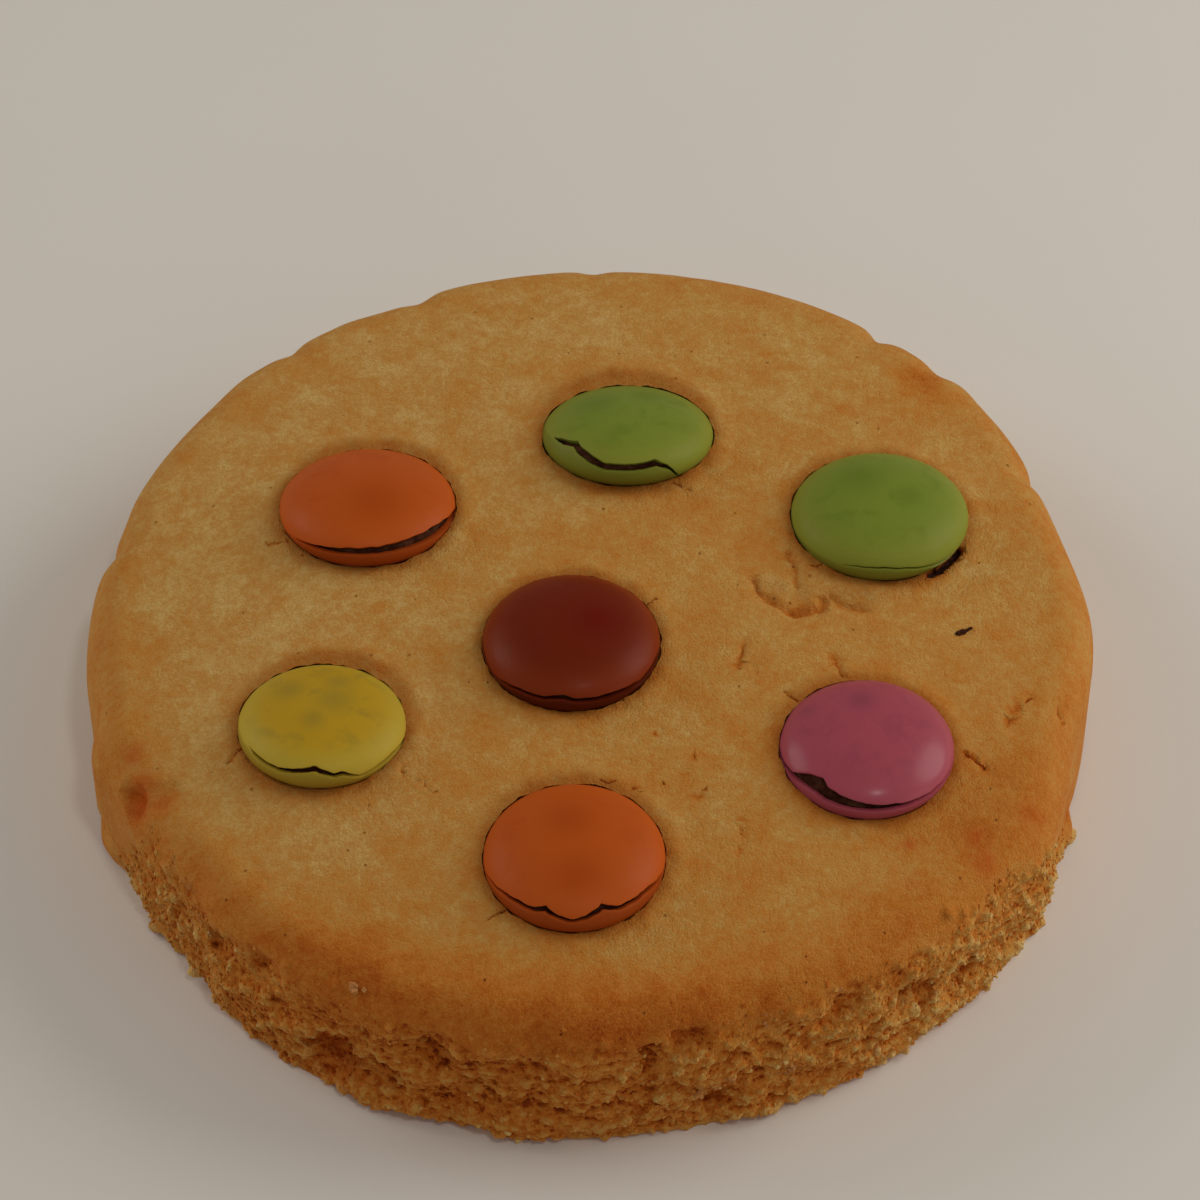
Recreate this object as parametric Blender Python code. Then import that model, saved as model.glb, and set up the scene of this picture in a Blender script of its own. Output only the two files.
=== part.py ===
"""A round shortbread biscuit with seven sugar-shelled chocolate buttons pressed into its top.

The biscuit lies on z = 0 with its middle on the Z axis. The front, with the open crumb of the
side in view, is towards -Y. Each button is a hollow sugar shell, cracked open along its front,
round a chocolate centre. Every length is in metres.
"""

import math

import bmesh
import bpy
from mathutils import Vector, noise

MM = 0.001
TOUCH = 0.001 * MM

# The biscuit's profile
BISCUIT_RADIUS = 40.4 * MM
BISCUIT_HEIGHT = 17.0 * MM
DOME_RISE = 2.4 * MM
DOME_RADIUS = 36.0 * MM
SHOULDER_REACH = 3.8 * MM
SHOULDER_DROP = 4.6 * MM
BASE_RADIUS = 40.4 * MM
BASE_CHAMFER = 0.6 * MM
FLAT_BASE_RADIUS = 34.0 * MM

# How finely the turned profile is divided before it is thinned
TURN_STEPS = 200
DOME_STEPS = 40
SHOULDER_STEPS = 8
WALL_STEPS = 12
KEPT_SHARE = 0.2

# The outline isn't quite round: how many lobes go round it, their height and a peak in degrees
OUTLINE_LOBES = (
    (2, 0.49 * MM, 77.0),
    (3, 0.30 * MM, 53.7),
    (4, 0.28 * MM, -36.7),
    (5, 0.17 * MM, -34.0),
)

# The uneven dough: long waves on the top, crumbly layers down the side and a lip at each button
TOP_WAVE = 0.22 * MM
TOP_WAVE_PERIOD = 13.0 * MM
CRAG_DEPTH = 1.5 * MM
CRAG_PERIOD = 5.5 * MM
CRAG_LAYER = 2.6 * MM
CRAG_MIDDLE = 0.45
CRAG_CONTRAST = 0.75
CRUMB_TOP_SHARE = 0.45
LIP_HEIGHT = 0.3 * MM
LIP_REACH = 1.1 * MM
LIP_OFFSET = 0.3 * MM
RIM_SHARE_POWER = 4
DENT_EDGE_POWER = 1.5
CRAG_OCTAVES = 3

# Small dips of the rim: the angle in degrees, the half width in degrees and the depth
RIM_NOTCHES = (
    (52.5, 1.6, 0.7 * MM),
    (43.5, 2.4, 0.8 * MM),
    (24.0, 1.5, 0.4 * MM),
    (89.5, 1.6, 0.35 * MM),
    (112.0, 1.8, 0.45 * MM),
    (130.0, 1.6, 0.4 * MM),
    (168.0, 2.0, 0.5 * MM),
)
NOTCH_START = 34.0 * MM
NOTCH_DROP = 0.5

# Pits and hollows of the side: the angle in degrees, the height, the radius and the depth
SIDE_PITS = (
    (-152.0, 12.6 * MM, 2.6 * MM, 2.2 * MM),
    (-162.5, 3.0 * MM, 2.0 * MM, 0.9 * MM),
    (-135.0, 9.0 * MM, 2.2 * MM, 1.2 * MM),
    (-128.0, 10.6 * MM, 2.0 * MM, 1.0 * MM),
    (-119.0, 3.8 * MM, 3.0 * MM, 1.8 * MM),
    (-107.0, 9.0 * MM, 2.0 * MM, 1.1 * MM),
    (-113.0, 4.4 * MM, 2.4 * MM, 1.3 * MM),
    (-102.0, 6.2 * MM, 2.2 * MM, 1.2 * MM),
    (-79.0, 11.6 * MM, 2.0 * MM, 1.3 * MM),
    (-83.0, 9.8 * MM, 2.0 * MM, 1.1 * MM),
    (-75.5, 3.6 * MM, 2.0 * MM, 1.5 * MM),
    (-61.0, 10.4 * MM, 2.4 * MM, 1.1 * MM),
    (-51.0, 6.8 * MM, 2.6 * MM, 1.4 * MM),
    (-44.0, 4.4 * MM, 2.4 * MM, 1.2 * MM),
    (150.0, 6.0 * MM, 2.6 * MM, 1.3 * MM),
    (112.0, 7.6 * MM, 2.4 * MM, 1.2 * MM),
    (71.0, 5.0 * MM, 2.6 * MM, 1.4 * MM),
    (33.0, 7.2 * MM, 2.4 * MM, 1.2 * MM),
    (4.0, 5.6 * MM, 2.4 * MM, 1.3 * MM),
)

# Lumps that stand out of the side, written like the pits
SIDE_LUMPS = (
    (-73.0, 1.8 * MM, 2.4 * MM, 0.7 * MM),
    (-97.0, 1.6 * MM, 2.6 * MM, 0.6 * MM),
    (-141.0, 1.8 * MM, 2.0 * MM, 0.6 * MM),
    (-17.0, 1.6 * MM, 2.0 * MM, 0.7 * MM),
    (-116.0, 1.2 * MM, 2.0 * MM, 0.5 * MM),
)

# Cracked chips of the top beside a button: place, radius and depth
TOP_CHIPS = (
    (13.8 * MM, 0.3 * MM, 1.5 * MM, 0.5 * MM),
    (15.8 * MM, -1.2 * MM, 1.7 * MM, 0.7 * MM),
    (20.8 * MM, -0.5 * MM, 1.4 * MM, 0.4 * MM),
    (-32.4 * MM, -17.8 * MM, 1.8 * MM, 0.6 * MM),
)

# The buttons
SHELL_WALL = 0.6 * MM
HALF_HEIGHT_SHARE = 0.40
CORE_GAP = 0.3 * MM
SOCKET_GAP = 0.35 * MM
SHELL_SIDES = 22
SHELL_BANDS = 8
HOLLOW_SIDES = 16
HOLLOW_BANDS = 6
SOCKET_SIDES = 24
SOCKET_BANDS = 8
CRACK_STEP = 11.0
CRACK_INNER_SHARE = 0.55
CRACK_OUTER_SHARE = 1.08

# Each button: its middle, its radius, how far it leans back in degrees, the colour of its
# shell, and its crack as (angle in degrees, height over the widest ring, width)
BUTTONS = {
    "orange_left": (
        (-17.6 * MM, 10.0 * MM, 16.35 * MM), 7.2 * MM, 13.0, (0.62, 0.13, 0.02),
        ((-140, 0.1, 0.4), (-119, 0.4, 0.5), (-79, 0.6, 0.5), (-56, 0.6, 0.7), (-11, 0.3, 0.7)),
    ),
    "green_top": (
        (3.3 * MM, 17.9 * MM, 16.3 * MM), 7.05 * MM, 20.0, (0.13, 0.22, 0.03),
        ((-146, 1.2, 0.4), (-128, 1.2, 0.6), (-105, 0.5, 0.8), (-72, 0.7, 0.8), (-55, 0.2, 0.4)),
    ),
    "green_right": (
        (23.5 * MM, 9.1 * MM, 16.3 * MM), 7.2 * MM, 8.0, (0.13, 0.24, 0.03),
        ((-109, 0.5, 0.35), (-77, 0.5, 0.35), (-55, 0.2, 0.5), (-32, 0.0, 0.5)),
    ),
    "red_middle": (
        (-1.2 * MM, -4.9 * MM, 17.2 * MM), 7.05 * MM, 4.5, (0.14, 0.014, 0.008),
        ((-160, 0.1, 0.4), (-128, 0.4, 0.4), (-96, 0.7, 0.4), (-60, 0.4, 0.6), (-22, 0.2, 0.6)),
    ),
    "yellow_left": (
        (-20.4 * MM, -12.2 * MM, 15.85 * MM), 6.7 * MM, 10.0, (0.42, 0.28, 0.03),
        ((-154, 0.6, 0.4), (-119, 0.5, 0.4), (-93, 0.9, 0.4), (-70, 0.4, 0.4), (-20, 0.3, 0.4)),
    ),
    "pink_right": (
        (21.6 * MM, -14.6 * MM, 15.95 * MM), 6.85 * MM, 3.0, (0.36, 0.05, 0.12),
        ((-170, 0.4, 0.4), (-142, 1.0, 0.9), (-112, 0.8, 1.1), (-60, 0.6, 0.7), (-20, 0.3, 0.5)),
    ),
    "orange_front": (
        (-0.9 * MM, -25.0 * MM, 15.8 * MM), 7.0 * MM, 2.5, (0.60, 0.12, 0.02),
        ((-160, 0.4, 0.4), (-112, 1.2, 0.4), (-89, 0.7, 0.4), (-70, 1.3, 0.4), (-20, 0.5, 0.4)),
    ),
}

# Finishes
CHOCOLATE_COLOUR = (0.035, 0.012, 0.006)
CHOCOLATE_ROUGHNESS = 0.5
SHELL_ROUGHNESS = 0.35
BISCUIT_COLOUR = (0.47, 0.24, 0.075)
BISCUIT_ROUGHNESS = 0.85
SHARP_ANGLE = 50.0


def clear_scene():
    """Remove what the default scene holds."""
    for old in list(bpy.data.objects):
        bpy.data.objects.remove(old, do_unlink=True)


def make_material(name, colour, roughness):
    """A plain Principled finish."""
    material = bpy.data.materials.new(name)
    material.use_nodes = True
    shader = material.node_tree.nodes["Principled BSDF"]
    shader.inputs["Base Color"].default_value = (*colour, 1.0)
    shader.inputs["Roughness"].default_value = roughness
    shader.inputs["Metallic"].default_value = 0.0
    material.diffuse_color = (*colour, 1.0)
    return material


def object_from_bmesh(name, body, material=None):
    """Turn a bmesh into a named object with smooth faces."""
    mesh = bpy.data.meshes.new(name)
    bmesh.ops.recalc_face_normals(body, faces=body.faces)
    body.to_mesh(mesh)
    body.free()
    mesh.shade_smooth()
    mesh.set_sharp_from_angle(angle=math.radians(SHARP_ANGLE))
    made = bpy.data.objects.new(name, mesh)
    if material is not None:
        mesh.materials.append(material)
    return made


def make_cutter(made):
    """Mark an object as a cutter, which isn't part of the cookie."""
    made.hide_render = True
    made.display_type = "WIRE"
    return made


def dome_height(radius):
    """Height of the smooth top at this distance from the middle."""
    return BISCUIT_HEIGHT - DOME_RISE * (radius / DOME_RADIUS) ** 2


def biscuit_profile():
    """The turned outline, from the middle of the base out, up the side and over the dome."""
    shoulder_radius = BISCUIT_RADIUS - SHOULDER_REACH
    wall_top = dome_height(shoulder_radius) - SHOULDER_DROP
    outline = [(0.0, 0.0), (FLAT_BASE_RADIUS / 3, 0.0), (FLAT_BASE_RADIUS * 2 / 3, 0.0)]
    outline.append((FLAT_BASE_RADIUS, 0.0))
    outline.append(((FLAT_BASE_RADIUS + BASE_RADIUS) / 2, 0.0))
    outline.append((BASE_RADIUS - BASE_CHAMFER, 0.0))
    for step in range(WALL_STEPS):
        share = step / WALL_STEPS
        bulge = math.sin(share * math.pi / 2)
        radius = BASE_RADIUS + (BISCUIT_RADIUS - BASE_RADIUS) * bulge
        outline.append((radius, BASE_CHAMFER + (wall_top - BASE_CHAMFER) * share))
    for step in range(SHOULDER_STEPS):
        turn = math.pi / 2 * step / SHOULDER_STEPS
        radius = shoulder_radius + SHOULDER_REACH * math.cos(turn)
        outline.append((radius, wall_top + SHOULDER_DROP * math.sin(turn)))
    for step in range(DOME_STEPS + 1):
        radius = shoulder_radius * (1 - step / DOME_STEPS)
        outline.append((radius, dome_height(radius)))
    return outline


def angle_between(first, second):
    """The smallest difference of two angles in degrees."""
    return abs((first - second + 180.0) % 360.0 - 180.0)


def outline_swell(angle):
    """How far the outline stands out of the true circle at this angle in degrees."""
    return sum(height * math.cos(math.radians(count * (angle - peak)))
               for count, height, peak in OUTLINE_LOBES)


def crumb_share(height):
    """1 on the open crumb of the side, fading to 0 over the browned shoulder."""
    wall_top = dome_height(BISCUIT_RADIUS - SHOULDER_REACH) - SHOULDER_DROP
    above = (height - wall_top) / SHOULDER_DROP
    return min(max(2.0 * (CRUMB_TOP_SHARE - above), 0.0), 1.0)


def crag_depth(place):
    """How far the crumbly layers of the side step in from its outline at this place."""
    layered = Vector((place.x / CRAG_PERIOD, place.y / CRAG_PERIOD, place.z / CRAG_LAYER))
    rough = noise.fractal(layered, 1.0, 2.0, CRAG_OCTAVES)
    share = min(max(CRAG_MIDDLE + CRAG_CONTRAST * rough, 0.0), 1.0)
    return CRAG_DEPTH * (share - CRAG_MIDDLE)


def dent_depth(place, dents):
    """How deep the dents that reach this place are."""
    depth = 0.0
    for centre, reach, most in dents:
        share = (place - centre).length / reach
        if share < 1.0:
            depth = max(depth, most * (1.0 - share * share) ** DENT_EDGE_POWER)
    return depth


def side_dents(rows):
    """Pits or lumps of the side as (centre, radius, depth)."""
    dents = []
    for angle, height, reach, depth in rows:
        turn = math.radians(angle)
        centre = Vector((math.cos(turn), math.sin(turn), 0.0)) * BISCUIT_RADIUS
        centre.z = height
        dents.append((centre, reach, depth))
    return dents


def top_dents(rows):
    """Chips of the top as (centre, radius, depth)."""
    dents = []
    for x, y, reach, depth in rows:
        centre = Vector((x, y, dome_height(math.hypot(x, y))))
        dents.append((centre, reach, depth))
    return dents


def lip_height(place):
    """The dough pushed up round each button."""
    height = 0.0
    for middle, radius, *_ in BUTTONS.values():
        away = math.hypot(place.x - middle[0], place.y - middle[1]) - radius - SOCKET_GAP
        height = max(height, LIP_HEIGHT * math.exp(-((away - LIP_OFFSET) / LIP_REACH) ** 2))
    return height


def notch_depth(angle, radius):
    """How deep the dips of the rim are at this angle and distance from the middle."""
    rim = (radius - NOTCH_START) / (BISCUIT_RADIUS - NOTCH_START)
    if rim <= 0.0:
        return 0.0
    return rim * sum(depth * math.exp(-(angle_between(angle, notch_angle) / half_width) ** 2)
                     for notch_angle, half_width, depth in RIM_NOTCHES)


def shape_dough(body):
    """Move the turned surface into the uneven form of the baked dough."""
    pits = side_dents(SIDE_PITS)
    lumps = side_dents(SIDE_LUMPS)
    chips = top_dents(TOP_CHIPS)
    upward = Vector((0.0, 0.0, 1.0))
    body.normal_update()
    for vertex in body.verts:
        place = vertex.co.copy()
        radius = math.hypot(place.x, place.y)
        on_base = place.z < TOUCH
        if on_base and radius <= FLAT_BASE_RADIUS + TOUCH:
            continue
        outward = Vector((place.x, place.y, 0.0)).normalized()
        angle = math.degrees(math.atan2(place.y, place.x))
        edge = min(radius / BISCUIT_RADIUS, 1.0) ** RIM_SHARE_POWER
        notch = notch_depth(angle, radius)
        move = outward * (outline_swell(angle) * edge - notch)
        if not on_base:
            move -= upward * (NOTCH_DROP * notch)
            crumb = crumb_share(place.z)
            if radius > NOTCH_START:
                move -= outward * (crumb * crag_depth(place))
            move += vertex.normal * (dent_depth(place, lumps) - dent_depth(place, pits))
            if crumb == 0.0:
                wave = TOP_WAVE * noise.noise(Vector((place.x, place.y, 0.0)) / TOP_WAVE_PERIOD)
                move.z += wave * (1.0 - edge) + lip_height(place) - dent_depth(place, chips)
        vertex.co = place + move


def centre_outline(body):
    """Bring the middle of the outline onto the Z axis."""
    across = [vertex.co.x for vertex in body.verts]
    along = [vertex.co.y for vertex in body.verts]
    shift = Vector((-(max(across) + min(across)) / 2, -(max(along) + min(along)) / 2, 0.0))
    bmesh.ops.translate(body, verts=body.verts, vec=shift)


def make_biscuit(sockets):
    """Turn the profile, shape the dough, thin the mesh and cut the sockets of the buttons."""
    body = bmesh.new()
    line = [body.verts.new((radius, 0.0, height)) for radius, height in biscuit_profile()]
    edges = [body.edges.new(pair) for pair in zip(line, line[1:])]
    bmesh.ops.spin(body, geom=line + edges, axis=(0.0, 0.0, 1.0), cent=(0.0, 0.0, 0.0),
                   angle=math.tau, steps=TURN_STEPS, use_duplicate=False)
    bmesh.ops.remove_doubles(body, verts=body.verts, dist=TOUCH)
    bmesh.ops.recalc_face_normals(body, faces=body.faces)
    shape_dough(body)
    centre_outline(body)
    bmesh.ops.triangulate(body, faces=body.faces)
    finish = make_material("baked_dough", BISCUIT_COLOUR, BISCUIT_ROUGHNESS)
    biscuit = object_from_bmesh("biscuit", body, finish)
    bpy.context.scene.collection.objects.link(biscuit)
    thin = biscuit.modifiers.new("thin", "DECIMATE")
    thin.decimate_type = "COLLAPSE"
    thin.ratio = KEPT_SHARE
    cut = biscuit.modifiers.new("sockets", "BOOLEAN")
    cut.operation = "DIFFERENCE"
    cut.solver = "EXACT"
    cut.operand_type = "COLLECTION"
    cut.collection = sockets
    return biscuit


def lentil(sides, bands, radius, half_height, growth):
    """A flattened ball with its poles up and down, grown or shrunk all round."""
    body = bmesh.new()
    bmesh.ops.create_uvsphere(body, u_segments=sides, v_segments=bands, radius=radius + growth)
    flatness = (half_height + growth) / (radius + growth)
    bmesh.ops.scale(body, vec=(1.0, 1.0, flatness), verts=body.verts)
    return body


def crack_stations(points):
    """Even steps along a crack as (angle, height, width) in degrees and metres."""
    stations = []
    for (angle, height, width), (next_angle, next_height, next_width) in zip(points, points[1:]):
        steps = max(1, round((next_angle - angle) / CRACK_STEP))
        for step in range(steps):
            share = step / steps
            stations.append((
                angle + (next_angle - angle) * share,
                (height + (next_height - height) * share) * MM,
                (width + (next_width - width) * share) * MM,
            ))
    angle, height, width = points[-1]
    stations.append((angle, height * MM, width * MM))
    return stations


def crack_body(radius, points):
    """A curved bar that follows the crack through the wall of the shell."""
    body = bmesh.new()
    rings = []
    for angle, height, width in crack_stations(points):
        turn = math.radians(angle)
        outward = Vector((math.cos(turn), math.sin(turn), 0.0))
        inner = outward * (radius * CRACK_INNER_SHARE)
        outer = outward * (radius * CRACK_OUTER_SHARE)
        low = Vector((0.0, 0.0, height - width / 2))
        high = Vector((0.0, 0.0, height + width / 2))
        corners = (inner + low, outer + low, outer + high, inner + high)
        rings.append([body.verts.new(corner) for corner in corners])
    for ring, following in zip(rings, rings[1:]):
        for corner in range(4):
            beside = (corner + 1) % 4
            body.faces.new((ring[corner], ring[beside], following[beside], following[corner]))
    body.faces.new(rings[0])
    body.faces.new(rings[-1])
    return body


def subtract(target, cutter, name):
    """Cut one object out of another with a live modifier."""
    cut = target.modifiers.new(name, "BOOLEAN")
    cut.operation = "DIFFERENCE"
    cut.solver = "EXACT"
    cut.object = cutter


def make_button(name, sockets, chocolate):
    """One button: its place, its cracked shell, its chocolate and the socket that it sits in."""
    middle, radius, lean, colour, crack = BUTTONS[name]
    half_height = radius * HALF_HEIGHT_SHARE
    place = bpy.data.objects.new("place_" + name, None)
    place.location = middle
    place.rotation_euler = (math.radians(-lean), 0.0, 0.0)
    shell_finish = make_material("sugar_shell_" + name, colour, SHELL_ROUGHNESS)
    shell_form = lentil(SHELL_SIDES, SHELL_BANDS, radius, half_height, 0.0)
    hollow_form = lentil(HOLLOW_SIDES, HOLLOW_BANDS, radius, half_height, -SHELL_WALL)
    core_form = lentil(HOLLOW_SIDES, HOLLOW_BANDS, radius, half_height, -SHELL_WALL - CORE_GAP)
    socket_form = lentil(SOCKET_SIDES, SOCKET_BANDS, radius, half_height, SOCKET_GAP)
    shell = object_from_bmesh("shell_" + name, shell_form, shell_finish)
    core = object_from_bmesh("chocolate_" + name, core_form, chocolate)
    hollow = make_cutter(object_from_bmesh("hollow_" + name, hollow_form))
    split = make_cutter(object_from_bmesh("split_" + name, crack_body(radius, crack)))
    socket = make_cutter(object_from_bmesh("socket_" + name, socket_form))
    subtract(shell, hollow, "hollow")
    subtract(shell, split, "crack")
    bpy.context.scene.collection.objects.link(place)
    for made in (shell, hollow, split, core):
        made.parent = place
        bpy.context.scene.collection.objects.link(made)
    socket.parent = place
    sockets.objects.link(socket)


def main():
    clear_scene()
    sockets = bpy.data.collections.new("sockets")
    bpy.context.scene.collection.children.link(sockets)
    chocolate = make_material("chocolate", CHOCOLATE_COLOUR, CHOCOLATE_ROUGHNESS)
    for name in BUTTONS:
        make_button(name, sockets, chocolate)
    make_biscuit(sockets)
    bpy.context.view_layer.update()


main()
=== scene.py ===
"""The looks of a round shortbread biscuit with seven sugar-shelled chocolate buttons.

The dough is turned from its profile, sculpted, covered with clumps down its open side and remeshed
into one skin. Each button is a jagged, cracked sugar shell round a chocolate centre, and takes its
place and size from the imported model. Every length is in metres, and the front is towards -Y.
"""

import math

import bpy
import numpy as np
from mathutils import Euler, Matrix, Vector, noise


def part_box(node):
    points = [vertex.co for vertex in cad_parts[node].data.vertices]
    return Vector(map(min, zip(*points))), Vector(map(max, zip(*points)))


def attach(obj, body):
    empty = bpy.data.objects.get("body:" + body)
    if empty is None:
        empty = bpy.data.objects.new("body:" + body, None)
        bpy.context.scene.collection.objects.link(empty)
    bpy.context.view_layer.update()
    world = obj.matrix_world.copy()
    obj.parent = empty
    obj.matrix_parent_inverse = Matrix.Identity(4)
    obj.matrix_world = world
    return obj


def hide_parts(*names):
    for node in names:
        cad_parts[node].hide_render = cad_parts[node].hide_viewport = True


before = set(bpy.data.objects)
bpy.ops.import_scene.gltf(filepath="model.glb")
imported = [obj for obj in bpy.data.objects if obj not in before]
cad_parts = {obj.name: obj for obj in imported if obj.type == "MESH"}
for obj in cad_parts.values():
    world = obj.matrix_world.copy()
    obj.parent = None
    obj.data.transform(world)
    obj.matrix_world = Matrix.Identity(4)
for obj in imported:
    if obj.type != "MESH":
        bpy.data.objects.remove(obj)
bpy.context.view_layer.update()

MM = 0.001
TOUCH = 0.001 * MM
ROOT = "root"

# The turned profile of the dough, the same as the solid's
BISCUIT_RADIUS = 40.4 * MM
BISCUIT_HEIGHT = 17.0 * MM
DOME_RISE = 2.4 * MM
DOME_RADIUS = 36.0 * MM
SHOULDER_REACH = 3.8 * MM
SHOULDER_DROP = 4.6 * MM
BASE_CHAMFER = 0.6 * MM
FLAT_BASE_RADIUS = 34.0 * MM
BASE_STEPS = 6
WALL_STEPS = 26
SHOULDER_STEPS = 14
DOME_STEPS = 60
TURN_STEPS = 480

# The outline's lobes: how many go round it, their height and a peak in degrees
OUTLINE_LOBES = (
    (2, 0.49 * MM, 77.0),
    (3, 0.30 * MM, 53.7),
    (4, 0.28 * MM, -36.7),
    (5, 0.17 * MM, -34.0),
)
OUTLINE_SHIFT = 0.3 * MM
RIM_SHARE_POWER = 4

# The uneven dough: waves of the top, layers down the side and the lip at each button
TOP_WAVE = 0.22 * MM
TOP_WAVE_PERIOD = 13.0 * MM
TOP_RIPPLE = 0.05 * MM
TOP_RIPPLE_PERIOD = 2.2 * MM
CRAG_DEPTH = 1.1 * MM
CRAG_PERIOD = 5.5 * MM
CRAG_LAYER = 2.6 * MM
CRAG_MIDDLE = 0.45
CRAG_CONTRAST = 0.75
CRAG_OCTAVES = 3
CRUMB_TOP_SHARE = 0.45
CRUMB_FADE = 1.1 * MM
CRUMB_FADE_DOWN = 3.0 * MM
CRUMB_RAGGED = 0.7 * MM
CRUMB_RAGGED_PERIOD = 2.6 * MM
PIT_RAGGED = 0.45
PIT_RAGGED_PERIOD = 1.3 * MM
FLAKE_DEPTH = 0.26 * MM
FLAKE_PERIOD = 1.9 * MM
FLAKE_LAYER = 1.0 * MM
FLAKE_OCTAVES = 4
LIP_HEIGHT = 0.3 * MM
LIP_REACH = 1.1 * MM
LIP_OFFSET = 0.3 * MM
LIP_PERIOD = 1.8 * MM
DENT_EDGE_POWER = 1.1

# How high the open crumb reaches, as (degrees, height in mm). Below zero there is only crust.
CRUMB_LINE = (
    (-180, -6.0), (-163, -5.0), (-158, 3.0), (-153, 9.0), (-148, 12.2), (-140, 11.6), (-130, 12.1),
    (-116, 12.1), (-105, 12.3), (-88, 12.6), (-79, 12.6), (-68, 12.8), (-58, 12.8), (-45, 12.6),
    (-38, 13.0), (-31, 12.0), (-25, 8.5), (-20, 4.5), (-15, 0.0), (-10, -6.0), (20, -6.0),
    (45, 7.0), (135, 7.0), (160, -6.0),
)

# Small dips of the rim: the angle and the half width in degrees, and the depth in mm
RIM_NOTCHES = (
    (52.5, 1.6, 0.7),
    (43.5, 2.4, 0.8),
    (24.0, 1.5, 0.4),
    (89.5, 1.6, 0.35),
    (112.0, 1.8, 0.45),
    (130.0, 1.6, 0.4),
    (168.0, 2.0, 0.5),
)
NOTCH_START = 34.0 * MM
NOTCH_DROP = 0.5

# Clusters of pale crumbs: x, y, z, spread, count and size in mm
PALE_CRUMBS = (
    (-34.1, -20.5, 13.4, 0.30, 9, 0.10),
    (-32.7, -23.2, 12.7, 0.40, 9, 0.10),
    (-31.3, -24.9, 11.4, 0.40, 9, 0.12),
    (-30.6, -25.8, 9.6, 0.40, 8, 0.12),
    (-17.3, -36.0, 13.9, 0.28, 5, 0.36),
    (19.3, -35.2, 12.4, 0.08, 3, 0.14),
    (8.9, -39.6, 5.4, 0.42, 10, 0.22),
    (11.1, -39.0, 6.1, 0.42, 9, 0.20),
    (15.4, -37.6, 5.1, 0.50, 9, 0.22),
    (-18.2, -36.0, 1.0, 0.50, 7, 0.20),
    (14.0, -38.0, 11.8, 0.50, 7, 0.16),
)

# Crumbs that stand out of the side, written the same way
LOOSE_CRUMBS = (
    (-31.6, -25.9, 1.2, 0.35, 4, 0.50),
    (38.6, -11.6, 0.8, 0.30, 3, 0.55),
    (-6.0, -40.3, 0.9, 0.9, 5, 0.38),
    (24.0, -33.2, 0.9, 0.9, 5, 0.38),
    (-40.2, -9.0, 0.9, 0.8, 4, 0.38),
)

# Where the side falls back or, below zero, stands out, written the same way
SIDE_TRIMS = (
    (-168.0, 4.0, 0.30),
    (-163.0, 3.5, -0.75),
    (-145.0, 6.0, 0.45),
    (-140.0, 3.0, 0.55),
    (-130.0, 4.0, 0.20),
    (-122.0, 3.5, -0.20),
    (-116.0, 2.5, 0.30),
    (-106.0, 4.0, 0.55),
    (-96.0, 2.5, 0.40),
    (-84.0, 3.0, 0.30),
    (-72.0, 4.0, 0.40),
    (-56.0, 4.0, 0.10),
    (-31.0, 8.0, -0.85),
    (-15.0, 3.5, 0.25),
    (2.0, 11.0, -1.15),
    (24.0, 3.0, 0.10),
    (32.0, 10.0, -0.35),
    (42.6, 3.5, -0.75),
    (52.0, 3.0, 0.05),
    (115.0, 5.0, 0.55),
    (137.0, 4.0, -0.30),
    (164.0, 4.0, 0.40),
)

# Pits of the side: the angle in degrees, then the height, the radius and the depth in mm
SIDE_PITS = (
    (-154.0, 13.0, 1.8, 2.5),
    (-162.5, 3.0, 2.0, 0.9),
    (-135.0, 9.0, 2.2, 1.2),
    (-128.0, 10.6, 2.0, 1.0),
    (-119.0, 4.4, 2.8, 2.6),
    (-107.0, 9.0, 2.0, 1.1),
    (-113.0, 4.4, 2.4, 1.3),
    (-102.0, 6.2, 2.2, 1.2),
    (-79.0, 11.6, 2.0, 1.3),
    (-83.0, 9.8, 2.0, 1.1),
    (-75.5, 3.6, 2.0, 1.5),
    (-61.0, 10.4, 2.4, 1.1),
    (-51.0, 6.8, 2.6, 1.4),
    (-44.0, 4.4, 2.4, 1.2),
    (150.0, 6.0, 2.6, 1.3),
    (112.0, 7.6, 2.4, 1.2),
    (71.0, 5.0, 2.6, 1.4),
    (33.0, 7.2, 2.4, 1.2),
    (4.0, 5.6, 2.4, 1.3),
)

# Lumps that stand out of the side, written like the pits
SIDE_LUMPS = (
    (-73.0, 1.8, 2.4, 0.7),
    (-97.0, 1.6, 2.6, 0.6),
    (-141.0, 1.8, 2.0, 0.6),
    (-17.0, 1.6, 2.0, 0.7),
    (-116.0, 1.2, 2.0, 0.5),
)

# Fissures of the side: points as (degrees, height), then the half width and the depth, in mm
SIDE_FISSURES = (
    (((-144, 7.2), (-135, 10.3), (-131, 11.2), (-128, 11.0), (-126, 11.3)), 0.55, 1.1),
    (((-115, 3.3), (-111, 5.0)), 0.5, 1.0),
    (((-109, 9.0), (-105, 10.0)), 0.4, 0.8),
    (((-104, 5.8), (-100, 6.6)), 0.4, 0.8),
    (((-81, 12.4), (-77, 11.7)), 0.5, 0.9),
    (((-83, 8.2), (-82.6, 13.0)), 0.45, 0.8),
    (((-69, 12.9), (-53.5, 11.2), (-47, 12.8), (-39, 12.6)), 0.5, 0.35),
    (((-97, 11.6), (-90, 11.9), (-86, 11.4)), 0.4, 0.3),
    (((-124, 5.0), (-116, 7.4)), 0.4, 0.7),
    (((-64, 6.2), (-57, 7.0)), 0.4, 0.7),
    (((-93, 4.2), (-86, 4.8)), 0.4, 0.7),
)

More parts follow.
